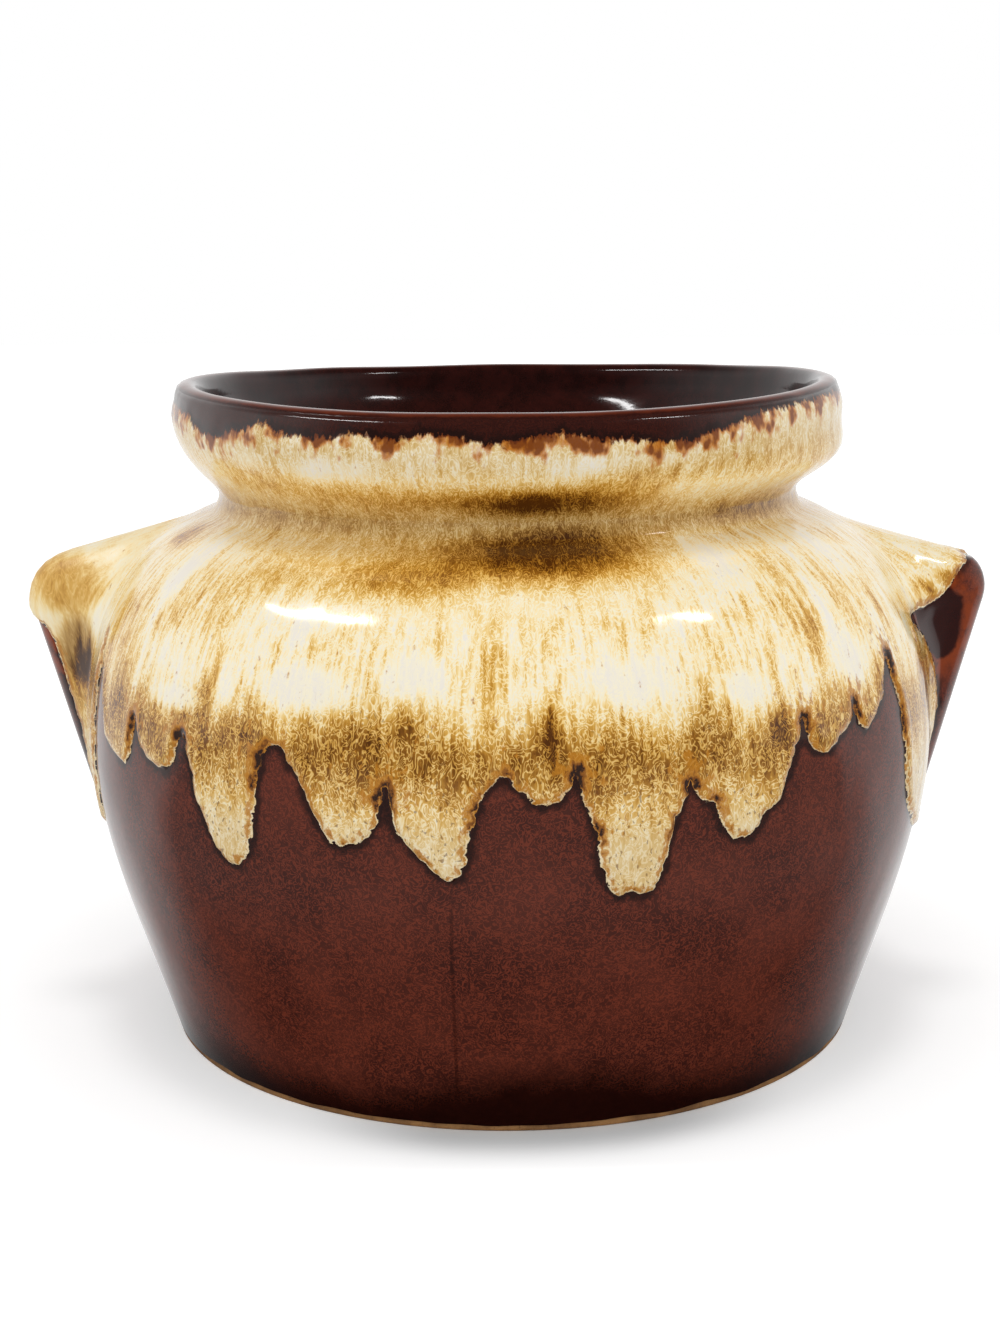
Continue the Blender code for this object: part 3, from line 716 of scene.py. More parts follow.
# %% The rim line, where the brown of the lip shows through the cream
RIM_FRONT = (
    (-84.0, 149.0), (-79.4, 148.8), (-65.6, 148.3), (-59.4, 145.4), (-53.1, 145.0), (-49.0, 146.9),
    (-45.1, 147.6), (-41.7, 149.6), (-36.2, 147.3), (-27.8, 147.4), (-24.5, 148.8), (-17.0, 147.4),
    (-13.2, 148.9), (-8.6, 148.4), (-2.7, 146.6), (1.7, 147.5), (7.6, 149.0), (13.6, 147.5), (23.2, 146.6),
    (28.3, 146.0), (34.0, 147.8), (44.4, 150.1), (52.7, 150.6), (62.2, 150.9), (80.7, 150.2), (84.0, 150.0),
)
RIM_BACK = 149.0
RIM_WAVER, RIM_TURNS = 1.6, 5.0
DRAWN_TO, DRAWN_FULL = 84.0, 76.0


def rim_height(angle):
    """Height of the cream's upper edge in millimetres."""
    turned = (angle + 180.0) % 360.0 - 180.0
    turn = math.radians(angle)
    free = RIM_BACK + RIM_WAVER * noise.noise(Vector((math.sin(turn), math.cos(turn), 0.0)) * RIM_TURNS)
    for (a, low), (b, high) in zip(RIM_FRONT, RIM_FRONT[1:]):
        if a <= turned < b:
            drawn = low + (high - low) * (turned - a) / (b - a)
            blend = soft_step(DRAWN_TO, DRAWN_FULL, abs(turned))
            return drawn * blend + free * (1.0 - blend)
    return free


print(f"The rim band is {LIP_TOP - rim_height(0.0):.1f} mm deep at the front")

# %% Columns that crowd at the ears and on the steep sides of drips
COAT_COLUMNS = 640
EAR_CROWD, STEEP_CROWD = 1.1, 1.0
CROWD_FROM, CROWD_FULL = 16.5, 13.0
STEEP, STEEP_SPAN = 2.5, 3
CROWD_SPREAD = 6


def crowded_angles(count):
    """Angles round the pot whose spacing shrinks where the coat needs more faces."""
    crowd = []
    for i, low in enumerate(hem):
        angle = i * HEM_STEP
        _, off = nearest_ear(angle)
        fall = abs(hem[(i + STEEP_SPAN) % len(hem)] - hem[i - STEEP_SPAN])
        slope = fall / (2.0 * STEEP_SPAN * across(HEM_STEP))
        by_ear = EAR_CROWD * soft_step(CROWD_FROM, CROWD_FULL, abs(off))
        crowd.append(1.0 + by_ear + STEEP_CROWD * min(slope / STEEP, 1.0))
    spread = range(-CROWD_SPREAD, CROWD_SPREAD + 1)
    smooth = [sum(crowd[(i + k) % len(crowd)] for k in spread) / len(spread) for i in range(len(crowd))]
    total = sum(smooth)
    angles = []
    run = 0.0
    for i, share in enumerate(smooth):
        while len(angles) < count and len(angles) * total / count < run + share:
            angles.append((i + (len(angles) * total / count - run) / share) * HEM_STEP)
        run += share
    return angles


coat_angles = crowded_angles(COAT_COLUMNS)
gaps = [far - near for near, far in zip(coat_angles, coat_angles[1:])]
print(f"{len(coat_angles)} columns, {min(gaps):.2f} to {max(gaps):.2f} degrees apart")

# %% [markdown]
# The coat's colours depend on how the glaze ran: amber where it is thin over an edge, white where it
# pooled, specks of brown just above the drips, burnt in the notches; under the collar painted shade darkens
# it. Painting that by hand is slow, and a pattern on plain coordinates ignores the pot's shape. So each
# vertex carries a few measures, and the material reads them as attributes: distances to the hem and to the
# rim line, the way of the flow, and the zones' weights.

# %% How thick the coat is, and which zone a place lies in
COAT, COAT_LEAST = 0.72, 0.05
BEAD, BEAD_AT, BEAD_WIDTH = 0.32, 2.0, 1.3
COAT_RISE = 0.8
UNDERCUT = 0.55
KEEP_BELOW = -1.25
RIM_FROM, RIM_FULL = -1.0, 2.6


def coat_thickness(hem_way, rim_way):
    """Thickness over the brown skin in millimetres: below zero past the hem, thin at the rim line."""
    if hem_way <= 0.0:
        return UNDERCUT * hem_way
    thick = COAT * (1.0 - math.exp(-hem_way / COAT_RISE))
    thick += BEAD * math.exp(-(((hem_way - BEAD_AT) / BEAD_WIDTH) ** 2)) * min(hem_way, 1.0)
    return max(thick * soft_step(RIM_FROM, RIM_FULL, rim_way), COAT_LEAST)


def patches(angle, seed, waves):
    """Soft patches round the pot, from 0 to 1, with about the given number of waves."""
    turn = math.radians(angle)
    place = Vector((math.sin(turn), math.cos(turn), 0.0)) * waves / 3.0
    return min(max(0.5 + noise.noise(place + Vector((0.0, 0.0, seed))), 0.0), 1.0)


# Where the coat ran thin, on the side that shows, and under the collar also its painted shadow: direction
# and height of the middle, half sizes in degrees and millimetres, and by how much it goes towards umber, or
# towards white if that is below zero.
THIN_AND_SHADOW_SPOTS = (
    (6.0, 134.6, 30.0, 5.0, 0.50), (-24.0, 135.2, 24.0, 4.6, 0.22), (-46.0, 137.0, 18.0, 5.0, 0.20),
    (22.0, 139.4, 16.0, 4.2, 0.22), (44.0, 141.5, 24.0, 5.0, 0.10), (64.0, 140.0, 20.0, 7.0, 0.12),
    # Under the collar at the front: umber glaze with the collar's shadow painted over it.
    (8.0, 122.4, 24.0, 7.6, 0.57), (-12.0, 121.4, 24.0, 6.4, 0.24), (-16.0, 117.8, 18.0, 5.6, 0.26),
    (-36.0, 118.6, 16.0, 6.4, 0.20), (-50.0, 110.0, 16.0, 10.0, 0.18), (-66.0, 104.0, 9.0, 12.0, 0.22),
    (42.0, 112.0, 6.0, 12.0, 0.16), (52.0, 110.0, 7.0, 12.0, 0.10),
    (3.5, 134.0, 6.0, 3.2, 0.22), (1.5, 147.0, 5.0, 2.6, 0.40), (-17.0, 147.0, 6.0, 1.8, 0.30),
    (24.0, 145.4, 6.0, 2.2, 0.30), (-71.0, 120.6, 12.0, 4.2, 0.38), (-2.2, 104.0, 2.6, 13.0, 0.22),
    (4.8, 92.0, 2.8, 10.0, 0.34), (-40.0, 99.0, 2.4, 9.0, 0.22), (42.6, 103.0, 2.2, 8.0, 0.24),
    (-68.5, 92.0, 4.0, 12.0, 0.34), (55.5, 93.0, 4.0, 9.0, 0.30), (33.6, 88.0, 2.4, 6.0, 0.24),
    (-29.0, 141.0, 12.0, 4.0, -0.24), (12.0, 142.0, 9.0, 3.4, -0.22), (33.0, 120.0, 6.0, 8.0, -0.26),
    (58.0, 118.0, 7.0, 9.0, -0.26), (-27.0, 110.0, 7.0, 6.0, -0.22), (-57.0, 116.0, 5.0, 12.0, -0.34),
    (47.0, 108.0, 2.2, 12.0, -0.30), (61.0, 108.0, 2.6, 12.0, 0.20), (50.0, 129.0, 20.0, 5.0, 0.16),
    (74.0, 98.0, 5.0, 12.0, 0.22), (-60.0, 98.0, 7.0, 7.0, 0.16),
)
# Where it pooled white: the same without the last number.
WHITE_SPOTS = (
    (14.6, 100.4, 10.5, 9.0), (-12.0, 101.6, 8.0, 8.5), (-25.0, 98.6, 13.0, 8.0), (-46.0, 93.0, 9.0, 5.0),
    (29.0, 97.0, 7.0, 6.5), (49.0, 98.0, 7.0, 9.0),
)
# On the left ear's face, by distance from the axis and height.
EAR_SPOTS = ((105.0, 107.0, 14.0, 8.5, 0.28), (102.5, 92.0, 7.5, 10.5, 0.36), (98.5, 84.0, 3.0, 20.0, 0.06))
# On the right ear's ledge, in the same way; the first, at the ledge's root, is partly painted shade in the
# recess there.
LEDGE_TONE_AND_SHADE_SPOTS = ((97.5, 103.0, 6.0, 5.0, 0.44), (104.5, 106.5, 5.0, 3.0, 0.30))
# Under the collar the front's amber and its painted shadow lie still, without streaks: a spot as above.
STILL_SPOT = (-5.0, 121.0, 52.0, 12.0)
# On the side that doesn't show: height, half height, share, seed, waves and power of each ring of patches.
HIDDEN_PATCHES = (
    (136.0, 6.0, 0.25, 11.0, 5.0, 1), (121.0, 7.0, 0.36, 17.0, 6.0, 2), (108.0, 14.0, 0.3, 23.0, 16.0, 2),
)
# The tone of the plain coat, what collar and neck add, the neck's part being amber with painted shade, and
# the tones of the speckled zone and the drips.
PLAIN_TONE, COLLAR_TONE, NECK_AMBER_AND_SHADE_TONE, FUZZ_TONE, DRIP_TONE = 0.31, 0.06, 0.32, 0.755, 0.40
# Pairs of angles, lifts or heights: where a zone starts, and where it is full.
FRONT_ZONE = (84.0, 70.0)
LUG_ZONE, FACE_ZONE = (3.0, 8.0), (0.3, 1.4)
DRIP_ZONE, LOW_TAN_ZONE, TIP_ZONE = (87.0, 68.0), (82.0, 66.0), (80.0, 68.0)
COLLAR_ZONE, COLLAR_TAN_ZONE = (130.0, 138.0), (137.0, 144.0)
STILL_ZONE, STILL_COLLAR_ZONE = (122.0, 129.0), (136.0, 141.0)
UNBURNT_ZONE = (65.0, 70.0)
# Middle and half height of the neck's ring, amber with painted shade under the collar, and of the white
# belt.
NECK_AMBER_AND_SHADE_RING, WHITE_BELT = (128.6, 8.0), (99.0, 14.0)
# The speckled zone's upper edge, how far it goes up and down, and the height of its fade.
FUZZ_TOP, FUZZ_RAGGED, FUZZ_FADE = 99.0, 8.0, 14.0
BURN_REACH = 4.0


def weight_at(spot, across_it, height, core=0.1):
    """1 in the core of a soft spot, 0 outside it."""
    return soft_step(1.0, core, math.hypot((across_it - spot[0]) / spot[2], (height - spot[1]) / spot[3]))


def zone_weights(angle, level, point, hem_way, notch, lift):
    """The measures that the cream's colours read at one place, by name."""
    turned = (angle + 180.0) % 360.0 - 180.0
    height = level.height
    front = soft_step(*FRONT_ZONE, abs(turned))
    lug = soft_step(*LUG_ZONE, lift)
    face = soft_step(*FACE_ZONE, lift)
    ragged = FUZZ_TOP + FUZZ_RAGGED * (patches(angle, 31.0, 26.0) - 0.5)
    fuzz = soft_step(ragged, ragged - FUZZ_FADE, height) * (1.0 - lug)
    low = soft_step(*DRIP_ZONE, height)
    collar = soft_step(*COLLAR_ZONE, height)
    # The neck's ring: amber glaze with painted shade under the collar.
    neck_amber_and_shade = bump(height, *NECK_AMBER_AND_SHADE_RING)

    tone = PLAIN_TONE + COLLAR_TONE * collar + NECK_AMBER_AND_SHADE_TONE * neck_amber_and_shade
    tone += (FUZZ_TONE - tone) * fuzz
    tone += (DRIP_TONE - tone) * low
    seen = sum(spot[4] * weight_at(spot, turned, height) for spot in THIN_AND_SHADOW_SPOTS)
    hidden = sum(share * bump(height, middle, half) * patches(angle, seed, waves) ** power
                 for middle, half, share, seed, waves, power in HIDDEN_PATCHES)
    shift = (1.0 - lug) * (front * seen + (1.0 - front) * hidden)

    belt = bump(height, *WHITE_BELT) * (0.35 * (1.0 - front) + 0.5 * patches(angle, 41.0, 14.0))
    pooled = front * max(weight_at(spot, turned, height) for spot in WHITE_SPOTS)
    white = max(pooled, belt) - 1.5 * max(shift, 0.0)
    tan = max(0.7 * collar * soft_step(*COLLAR_TAN_ZONE, height), 0.75 * neck_amber_and_shade, 0.2 * low, 0.3 * fuzz,
              0.75 * soft_step(*LOW_TAN_ZONE, height))
    still = soft_step(*STILL_ZONE, height) * (1.0 - 0.5 * soft_step(*STILL_COLLAR_ZONE, height))
    still = max(still, front * weight_at(STILL_SPOT, turned, height, 0.5), 0.6 * fuzz)
    burnt = notch * math.exp(-max(hem_way, 0.0) / BURN_REACH)
    dry = 0.0
    # On the right ear's ledge: amber where thin, and painted shade in the recess at its root.
    if face > 0.0 and point.x > 0.0:
        shift += face * sum(spot[4] * weight_at(spot, point.x, point.z, 0.3) for spot in LEDGE_TONE_AND_SHADE_SPOTS)
    if face > 0.0 and point.x < 0.0:
        still = max(still, 0.75 * face)
        dry = face
        shift += face * sum(spot[4] * weight_at(spot, -point.x, point.z, 0.5) for spot in EAR_SPOTS)
        tan = max(tan, face * weight_at(EAR_SPOTS[1], -point.x, point.z, 0.5))
    return {
        "tone": tone + shift,
        "white": max(white, 0.0) * (1.0 - lug),
        "tan": max(tan, 0.1 * lug),
        "fuzz": fuzz,
        "still": still,
        "tip": max(soft_step(*TIP_ZONE, height), dry),
        "dry": dry,
        "burnt": burnt * (1.0 - 0.7 * soft_step(*UNBURNT_ZONE, abs(turned))),
    }


zone_names = list(zone_weights(0.0, PROBE, Vector(), 5.0, 0.0, 0.0))
print("Zones:", ", ".join(zone_names))

# %% The cream coat
COAT_TOP, COAT_BOTTOM = 151.8, END_HEIGHT - 3.0
COAT_WALL = 0.9
COAT_SMOOTH = 75.0


def coat_spacing(height):
    """Rings lie closest where the drips end."""
    return 1.4 if height > 130.0 else 1.8 if height > 118.0 else 1.7 if height > 98.0 else 0.95


lip_level = max(level.along for level in levels_along(outside, coat_spacing) if level.height > COAT_TOP)
coat_levels = [level for level in levels_along(outside, coat_spacing)
               if level.along > lip_level and level.height > COAT_BOTTOM]


def place_coat(level, angle):
    """The coat starts on the brown surface."""
    return outside_point(level, angle)[0]


bm, where = spun(coat_levels, coat_angles, place_coat)
bmesh.ops.recalc_face_normals(bm, faces=bm.faces[:])
if bm.faces[0].normal.dot(bm.faces[0].calc_center_median() * Vector((1.0, 1.0, 0.0))) < 0.0:
    bmesh.ops.reverse_faces(bm, faces=bm.faces[:])
bm.normal_update()
zones = {name: bm.verts.layers.float.new(name) for name in zone_names}
hem_layer = bm.verts.layers.float.new("hem")
rim_layer = bm.verts.layers.float.new("rim")
flow_layer = bm.verts.layers.float_vector.new("flow")
for vert, (level, angle) in zip(bm.verts[:], where):
    point, lift = outside_point(level, angle)
    hem_way, notch = way_to_hem(level, angle, point, lift)
    rim_way = rim_height(angle) - level.height
    turn = math.radians(angle)
    vert[hem_layer] = hem_way
    vert[rim_layer] = rim_way
    vert[flow_layer] = (BELLY * math.sin(turn), -BELLY * math.cos(turn), level.along + lift)
    for name, weight in zone_weights(angle, level, point, hem_way, notch, lift).items():
        vert[zones[name]] = weight
    vert.co += vert.normal * coat_thickness(hem_way, rim_way) * MM
bare = [face for face in bm.faces if all(vert[hem_layer] < KEEP_BELOW for vert in face.verts)]
bmesh.ops.delete(bm, geom=bare, context="FACES")
print(f"The coat has {len(coat_levels)} rings of {COAT_COLUMNS}, and {len(bm.faces)} faces are left")
cream_coat = finish_mesh(bm, "cream_coat", COAT_SMOOTH)
wall = cream_coat.modifiers.new("wall", "SOLIDIFY")
wall.thickness = COAT_WALL * MM
wall.offset = -1.0

# %% [markdown]
# ## Materials
#
# A glaze is glass, so every colour here sits under one smooth gloss, and the pattern is in the colour. The
# helpers below keep the node trees short: each makes one node, feeds it, and hands back its output. Colours
# are given as the eye reads them on a screen, 0 to 255, and turned into the linear values that light needs.

# %% Helpers for node trees
def paint(red, green, blue):
    """A screen colour as a linear one."""
    linear = [part / 255.0 / 12.92 if part < 10.5 else ((part / 255.0 + 0.055) / 1.055) ** 2.4
              for part in (red, green, blue)]
    return (*linear, 1.0)


def feed(tree, socket, value):
    """Link an output to a socket, or set the socket's own number or colour."""
    if isinstance(value, bpy.types.NodeSocket):
        tree.links.new(value, socket)
    else:
        socket.default_value = value


def mixed(tree, share, low, high):
    """A colour between two colours."""
    node = tree.nodes.new("ShaderNodeMix")
    node.data_type = "RGBA"
    for socket, value in zip((node.inputs[0], node.inputs[6], node.inputs[7]), (share, low, high)):
        feed(tree, socket, value)
    return node.outputs[2]


def reckon(tree, operation, *values):
    """A number worked out from others."""
    node = tree.nodes.new("ShaderNodeMath")
    node.operation = operation
    for socket, value in zip(node.inputs, values):
        feed(tree, socket, value)
    return node.outputs[0]


def rise(tree, value, low, high):
    """0 at low, 1 at high, smooth between; low may be the larger."""
    node = tree.nodes.new("ShaderNodeMapRange")
    node.interpolation_type = "SMOOTHSTEP"
    feed(tree, node.inputs["Value"], value)
    ends = (low, high, 0.0, 1.0) if low < high else (high, low, 1.0, 0.0)
    for name, end in zip(("From Min", "From Max", "To Min", "To Max"), ends):
        node.inputs[name].default_value = end
    return node.outputs[0]


def scaled(tree, value, factor):
    """A number times another."""
    return reckon(tree, "MULTIPLY", value, factor)


def away_from(tree, value, middle):
    """How far a number is from a middle, on either side."""
    return reckon(tree, "ABSOLUTE", reckon(tree, "SUBTRACT", value, middle))


def around_half(tree, value, factor):
    """A noise turned into a push to either side of zero."""
    return reckon(tree, "MULTIPLY", reckon(tree, "SUBTRACT", value, 0.5), factor)


def graded(tree, value, stops):
    """A colour that runs through the stops, pairs of a value from 0 to 1 and a colour."""
    node = tree.nodes.new("ShaderNodeValToRGB")
    elements = node.color_ramp.elements
    elements[0].position, elements[0].color = stops[0]
    elements[1].position, elements[1].color = stops[-1]
    for position, colour in stops[1:-1]:
        elements.new(position).color = colour
    tree.links.new(value, node.inputs[0])
    return node.outputs[0]


def measure(tree, name, output="Fac"):
    """A measure that the mesh carries."""
    node = tree.nodes.new("ShaderNodeAttribute")
    node.attribute_name = name
    return node.outputs[output]


def noise_on(tree, place, scale, stretch=(1.0, 1.0, 1.0), detail=2.0, roughness=0.5, distortion=0.0):
    """Noise from 0 to 1 on a place that is stretched first."""
    mapping = tree.nodes.new("ShaderNodeMapping")
    mapping.inputs["Scale"].default_value = stretch
    tree.links.new(place, mapping.inputs["Vector"])
    node = tree.nodes.new("ShaderNodeTexNoise")
    names = ("Scale", "Detail", "Roughness", "Distortion")
    for name, value in zip(names, (scale, detail, roughness, distortion)):
        node.inputs[name].default_value = value
    tree.links.new(mapping.outputs[0], node.inputs["Vector"])
    return node.outputs[0]


# How much glass bends light.
GLASS = 1.5


def start_material(name):
    """A material with its tree and its shader."""
    material = bpy.data.materials.new(name)
    material.use_nodes = True
    tree = material.node_tree
    return material, tree, tree.nodes["Principled BSDF"]


def object_place(tree):
    """The place on the piece in metres, and its three parts by name."""
    place = tree.nodes.new("ShaderNodeTexCoord").outputs["Object"]
    parts = tree.nodes.new("ShaderNodeSeparateXYZ")
    tree.links.new(place, parts.inputs[0])
    return place, parts.outputs


def bumpy(tree, shader, height, distance):
    """Let a height tilt the shader's normal; the distance in metres is what a height of 1 stands for."""
    node = tree.nodes.new("ShaderNodeBump")
    node.inputs["Distance"].default_value = distance
    tree.links.new(height, node.inputs["Height"])
    tree.links.new(node.outputs[0], shader.inputs["Normal"])


print("One screen grey of 128 is", round(paint(128, 128, 128)[0], 3), "in linear light")

# %% [markdown]
# ## The brown glaze
#
# An iron glaze: dark red-brown, breaking to rust where it is thin on an edge, with fine rust veins in it.
# It goes nearly black in a band beside the cream, and painted shade darkens it just above the foot,
# inside the pot and in the hollows under the ears' ledges. The mould's seam shows as a faint line.

# %% The brown glaze's colours and where they lie
# The hollow, foot and inner colours are painted shade: near black in the ears' hollows, above the foot and
# inside.
DARK_BROWN, LIGHT_BROWN, LIP_BROWN = paint(60, 28, 22), paint(84, 40, 30), paint(44, 13, 8)
HALO_BROWN, HOLLOW_SHADE_BROWN, FOOT_SHADE_BROWN = paint(30, 13, 10), paint(40, 5, 3), paint(20, 4, 3)
INSIDE_SHADE_DARK, INSIDE_SHADE_LIGHT, SEAM_BROWN = paint(30, 6, 4), paint(48, 13, 9), paint(36, 12, 8)
VEIN_RUST, CREST_RUST, BORDER_RUST = paint(128, 58, 39), paint(112, 46, 22), paint(136, 58, 24)
# The mould's seam: its direction in radians at its top and its lean in radians for each metre, then its top
# and its fade in metres, and its half width in radians.
SEAM_TURN, SEAM_LEAN = math.radians(-7.2), -0.315
SEAM_TOP, SEAM_FADE = 0.06, 0.01
SEAM_HALF, SEAM_CORE = 0.006, 0.002
LIP_FROM, LIP_TO = 0.144, 0.147
# Painted shade above the foot, the floor's shadow as the glaze mirrors it, rises in a low hill, in radians
# and metres.
HILL_TURN, HILL_HALF, HILL_RISE = 0.09, 0.5, 0.008
BAND_WAVER, BAND_TOP, BAND_FULL = 0.006, 0.012, -0.002


def brown_colours(tree, place, height, hem_way):
    """The brown glaze's colour, from a place and a height in metres and a way to the hem in millimetres."""
    cloud = noise_on(tree, place, 55.0, detail=3.0)
    base = mixed(tree, rise(tree, cloud, 0.3, 0.7), DARK_BROWN, LIGHT_BROWN)
    veins = noise_on(tree, place, 600.0, detail=1.0, roughness=0.5, distortion=2.2)
    vein = rise(tree, away_from(tree, veins, 0.5), 0.09, 0.01)
    base = mixed(tree, scaled(tree, vein, 0.6), base, VEIN_RUST)
    wide = reckon(tree, "ADD", hem_way, around_half(tree, noise_on(tree, place, 260.0, detail=2.0), 3.0))
    base = mixed(tree, scaled(tree, rise(tree, height, LIP_FROM, LIP_TO), 0.85), base, LIP_BROWN)
    return mixed(tree, scaled(tree, rise(tree, wide, -2.0, -0.4), 0.85), base, HALO_BROWN)


print("The brown glaze runs from", [round(part, 3) for part in DARK_BROWN[:3]], "in linear light")

# %% Brown glaze
def make_brown_glaze():
    """Brown with a rusty crest, painted shade inside, in the ears' hollows and above the foot, and a seam.
    """
    material, tree, shader = start_material("brown_glaze")
    place, parts = object_place(tree)
    height = parts["Z"]
    colour = brown_colours(tree, place, height, measure(tree, "hem"))
    blotch = noise_on(tree, place, 170.0, detail=3.0, roughness=0.6)
    thin = rise(tree, reckon(tree, "ADD", measure(tree, "thin"), scaled(tree, blotch, 0.8)), 0.9, 1.5)
    colour = mixed(tree, scaled(tree, thin, 0.75), colour, CREST_RUST)
    # Painted shade: the inside darkens where the wall faces the axis.
    inside = mixed(tree, rise(tree, blotch, 0.35, 0.65), INSIDE_SHADE_DARK, INSIDE_SHADE_LIGHT)
    colour = mixed(tree, scaled(tree, measure(tree, "inside_shade"), 0.92), colour, inside)

    # Painted shade: the hollow under each ear's ledge goes near black, ringed by rust.
    edge = reckon(tree, "ADD", measure(tree, "hollow_shade"), around_half(tree, blotch, 3.4))
    rust = reckon(tree, "MULTIPLY", rise(tree, edge, -8.5, -1.5), rise(tree, blotch, 0.3, 0.55))
    colour = mixed(tree, scaled(tree, rust, 0.9), colour, BORDER_RUST)
    colour = mixed(tree, scaled(tree, rise(tree, edge, -0.9, 0.2), 0.97), colour, HOLLOW_SHADE_BROWN)

    # Painted shade: a dark band above the foot, rising in a low hill at the front.
    turn = reckon(tree, "ARCTAN2", parts["X"], scaled(tree, parts["Y"], -1.0))
    hill = rise(tree, away_from(tree, turn, HILL_TURN), HILL_HALF, 0.0)
    top = reckon(tree, "MULTIPLY_ADD", hill, HILL_RISE, scaled(tree, blotch, BAND_WAVER))
    low = rise(tree, reckon(tree, "SUBTRACT", height, top), BAND_TOP, BAND_FULL)
    colour = mixed(tree, scaled(tree, low, 0.92), colour, FOOT_SHADE_BROWN)

    below = reckon(tree, "SUBTRACT", SEAM_TOP, height)
    seam_turn = reckon(tree, "MULTIPLY_ADD", below, SEAM_LEAN, SEAM_TURN)
    seam = rise(tree, away_from(tree, turn, seam_turn), SEAM_HALF, SEAM_CORE)
    seam = reckon(tree, "MULTIPLY", seam, rise(tree, height, SEAM_TOP, SEAM_TOP - SEAM_FADE))
    colour = mixed(tree, scaled(tree, seam, 0.45), colour, SEAM_BROWN)
    feed(tree, shader.inputs["Base Color"], colour)
    shader.inputs["Roughness"].default_value = 0.10
    shader.inputs["IOR"].default_value = GLASS
    shader.inputs["Specular IOR Level"].default_value = 0.32
    ripple = noise_on(tree, place, 60.0, detail=1.0)
    pores = noise_on(tree, place, 700.0, detail=1.0)
    relief = reckon(tree, "MULTIPLY_ADD", pores, 0.04, ripple)
    bumpy(tree, shader, reckon(tree, "SUBTRACT", relief, scaled(tree, seam, 0.12)), 0.0003)
    return material


brown_glaze = make_brown_glaze()
print("brown_glaze has", len(brown_glaze.node_tree.nodes), "nodes")

# %% [markdown]
# ## The cream glaze
#
# Its colour is a matter of thickness: white where it pooled, cream, then amber and umber as it gets thin
# over the brown, and under the collar painted shade darkens it too. So one number, the tone, runs from
# thick to thin and also carries that shade, and two colour ramps turn it into paint.
# Noises stretched along the flow push it about. A painted highlight lines the cream just inside the hem.
# Last comes the brown past the two edges, with a fine fringe.

# %% The cream's tone, from thick to thin
# White, cream, amber, umber; and the same run with less yellow in it.
AMBER_RUN = (
    (0.0, paint(242, 235, 222)), (0.18, paint(250, 241, 214)), (0.34, paint(252, 232, 182)),
    (0.48, paint(242, 206, 130)), (0.60, paint(222, 172, 80)), (0.72, paint(192, 136, 44)),
    (0.86, paint(144, 90, 22)), (1.0, paint(88, 48, 10)),
)
TAN_RUN = (
    (0.0, paint(238, 231, 220)), (0.18, paint(236, 225, 200)), (0.34, paint(226, 204, 160)),
    (0.48, paint(212, 182, 128)), (0.60, paint(194, 156, 94)), (0.72, paint(168, 128, 66)),
    (0.86, paint(120, 82, 34)), (1.0, paint(70, 40, 16)),
)


def thickness_tone(tree, flow, fine):
    """From 0 where the coat is thick to 1 where it is thin, with its streaks, flecks and worms."""
    streaks = noise_on(tree, flow, 0.85, stretch=(1.0, 1.0, 0.12), detail=2.0, roughness=0.6)
    broad = noise_on(tree, flow, 0.26, stretch=(1.0, 1.0, 0.16), detail=2.0, roughness=0.5)
    cloud = noise_on(tree, flow, 0.22, stretch=(1.0, 1.0, 0.8), detail=4.0, roughness=0.6)
    fuzz = measure(tree, "fuzz")
    moving = reckon(tree, "SUBTRACT", 1.0, measure(tree, "still"))
    runs = reckon(tree, "ADD", around_half(tree, streaks, 0.72), around_half(tree, broad, 0.42))
    tone = reckon(tree, "MULTIPLY_ADD", runs, moving, measure(tree, "tone"))
    tone = reckon(tree, "ADD", tone, around_half(tree, cloud, 0.5))
    tone = reckon(tree, "ADD", tone, around_half(tree, fine, 0.16))
    white = reckon(tree, "SUBTRACT", measure(tree, "white"), runs)
    calm = reckon(tree, "SUBTRACT", 1.0, scaled(tree, rise(tree, white, 0.1, 1.0), 0.72))
    tone = reckon(tree, "MULTIPLY_ADD", runs, 0.15, reckon(tree, "MULTIPLY", tone, calm))
    worms = noise_on(tree, flow, 0.5, stretch=(1.0, 1.0, 0.65), detail=1.0, roughness=0.3, distortion=3.0)
    worm = reckon(tree, "SUBTRACT", rise(tree, away_from(tree, worms, 0.5), 0.01, 0.1), 0.6)
    depth = reckon(tree, "MULTIPLY_ADD", fuzz, 0.1, 0.2)
    depth = reckon(tree, "MULTIPLY_ADD", measure(tree, "tip"), -0.14, depth)
    depth = reckon(tree, "MULTIPLY", depth, reckon(tree, "MULTIPLY_ADD", calm, 0.8, 0.2))
    return reckon(tree, "MULTIPLY_ADD", worm, depth, tone)


print(f"{len(AMBER_RUN)} colours from thick to thin")

# %% Tears and fringes, a painted highlight along the hem, and the cream glaze itself
TEAR_AMBER, TEAR_BROWN, TEAR_BLACK = paint(186, 122, 34), paint(126, 70, 14), paint(34, 13, 6)
RUST_AMBER, RUST_BROWN, RIM_BROWN = paint(192, 112, 26), paint(112, 50, 12), paint(96, 42, 14)
# The second colour is a painted highlight along the hem.
SPECK_BROWN, HEM_HIGHLIGHT = paint(104, 58, 20), paint(242, 226, 190)


def torn(tree, flow, fine, hem_way):
    """How dark the tears beside the hem and in the notches are, from 0 to about 1."""
    tears = noise_on(tree, flow, 0.6, stretch=(1.0, 1.0, 0.6), detail=4.0, roughness=0.62)
    near = reckon(tree, "MULTIPLY", rise(tree, hem_way, 0.1, 0.6), rise(tree, hem_way, 2.6, 0.4))
    burnt = scaled(tree, measure(tree, "burnt"), 0.43)
    tear = reckon(tree, "ADD", scaled(tree, near, 0.27), reckon(tree, "ADD", tears, burnt))
    return reckon(tree, "ADD", reckon(tree, "SUBTRACT", tear, 0.08), around_half(tree, fine, 0.2))


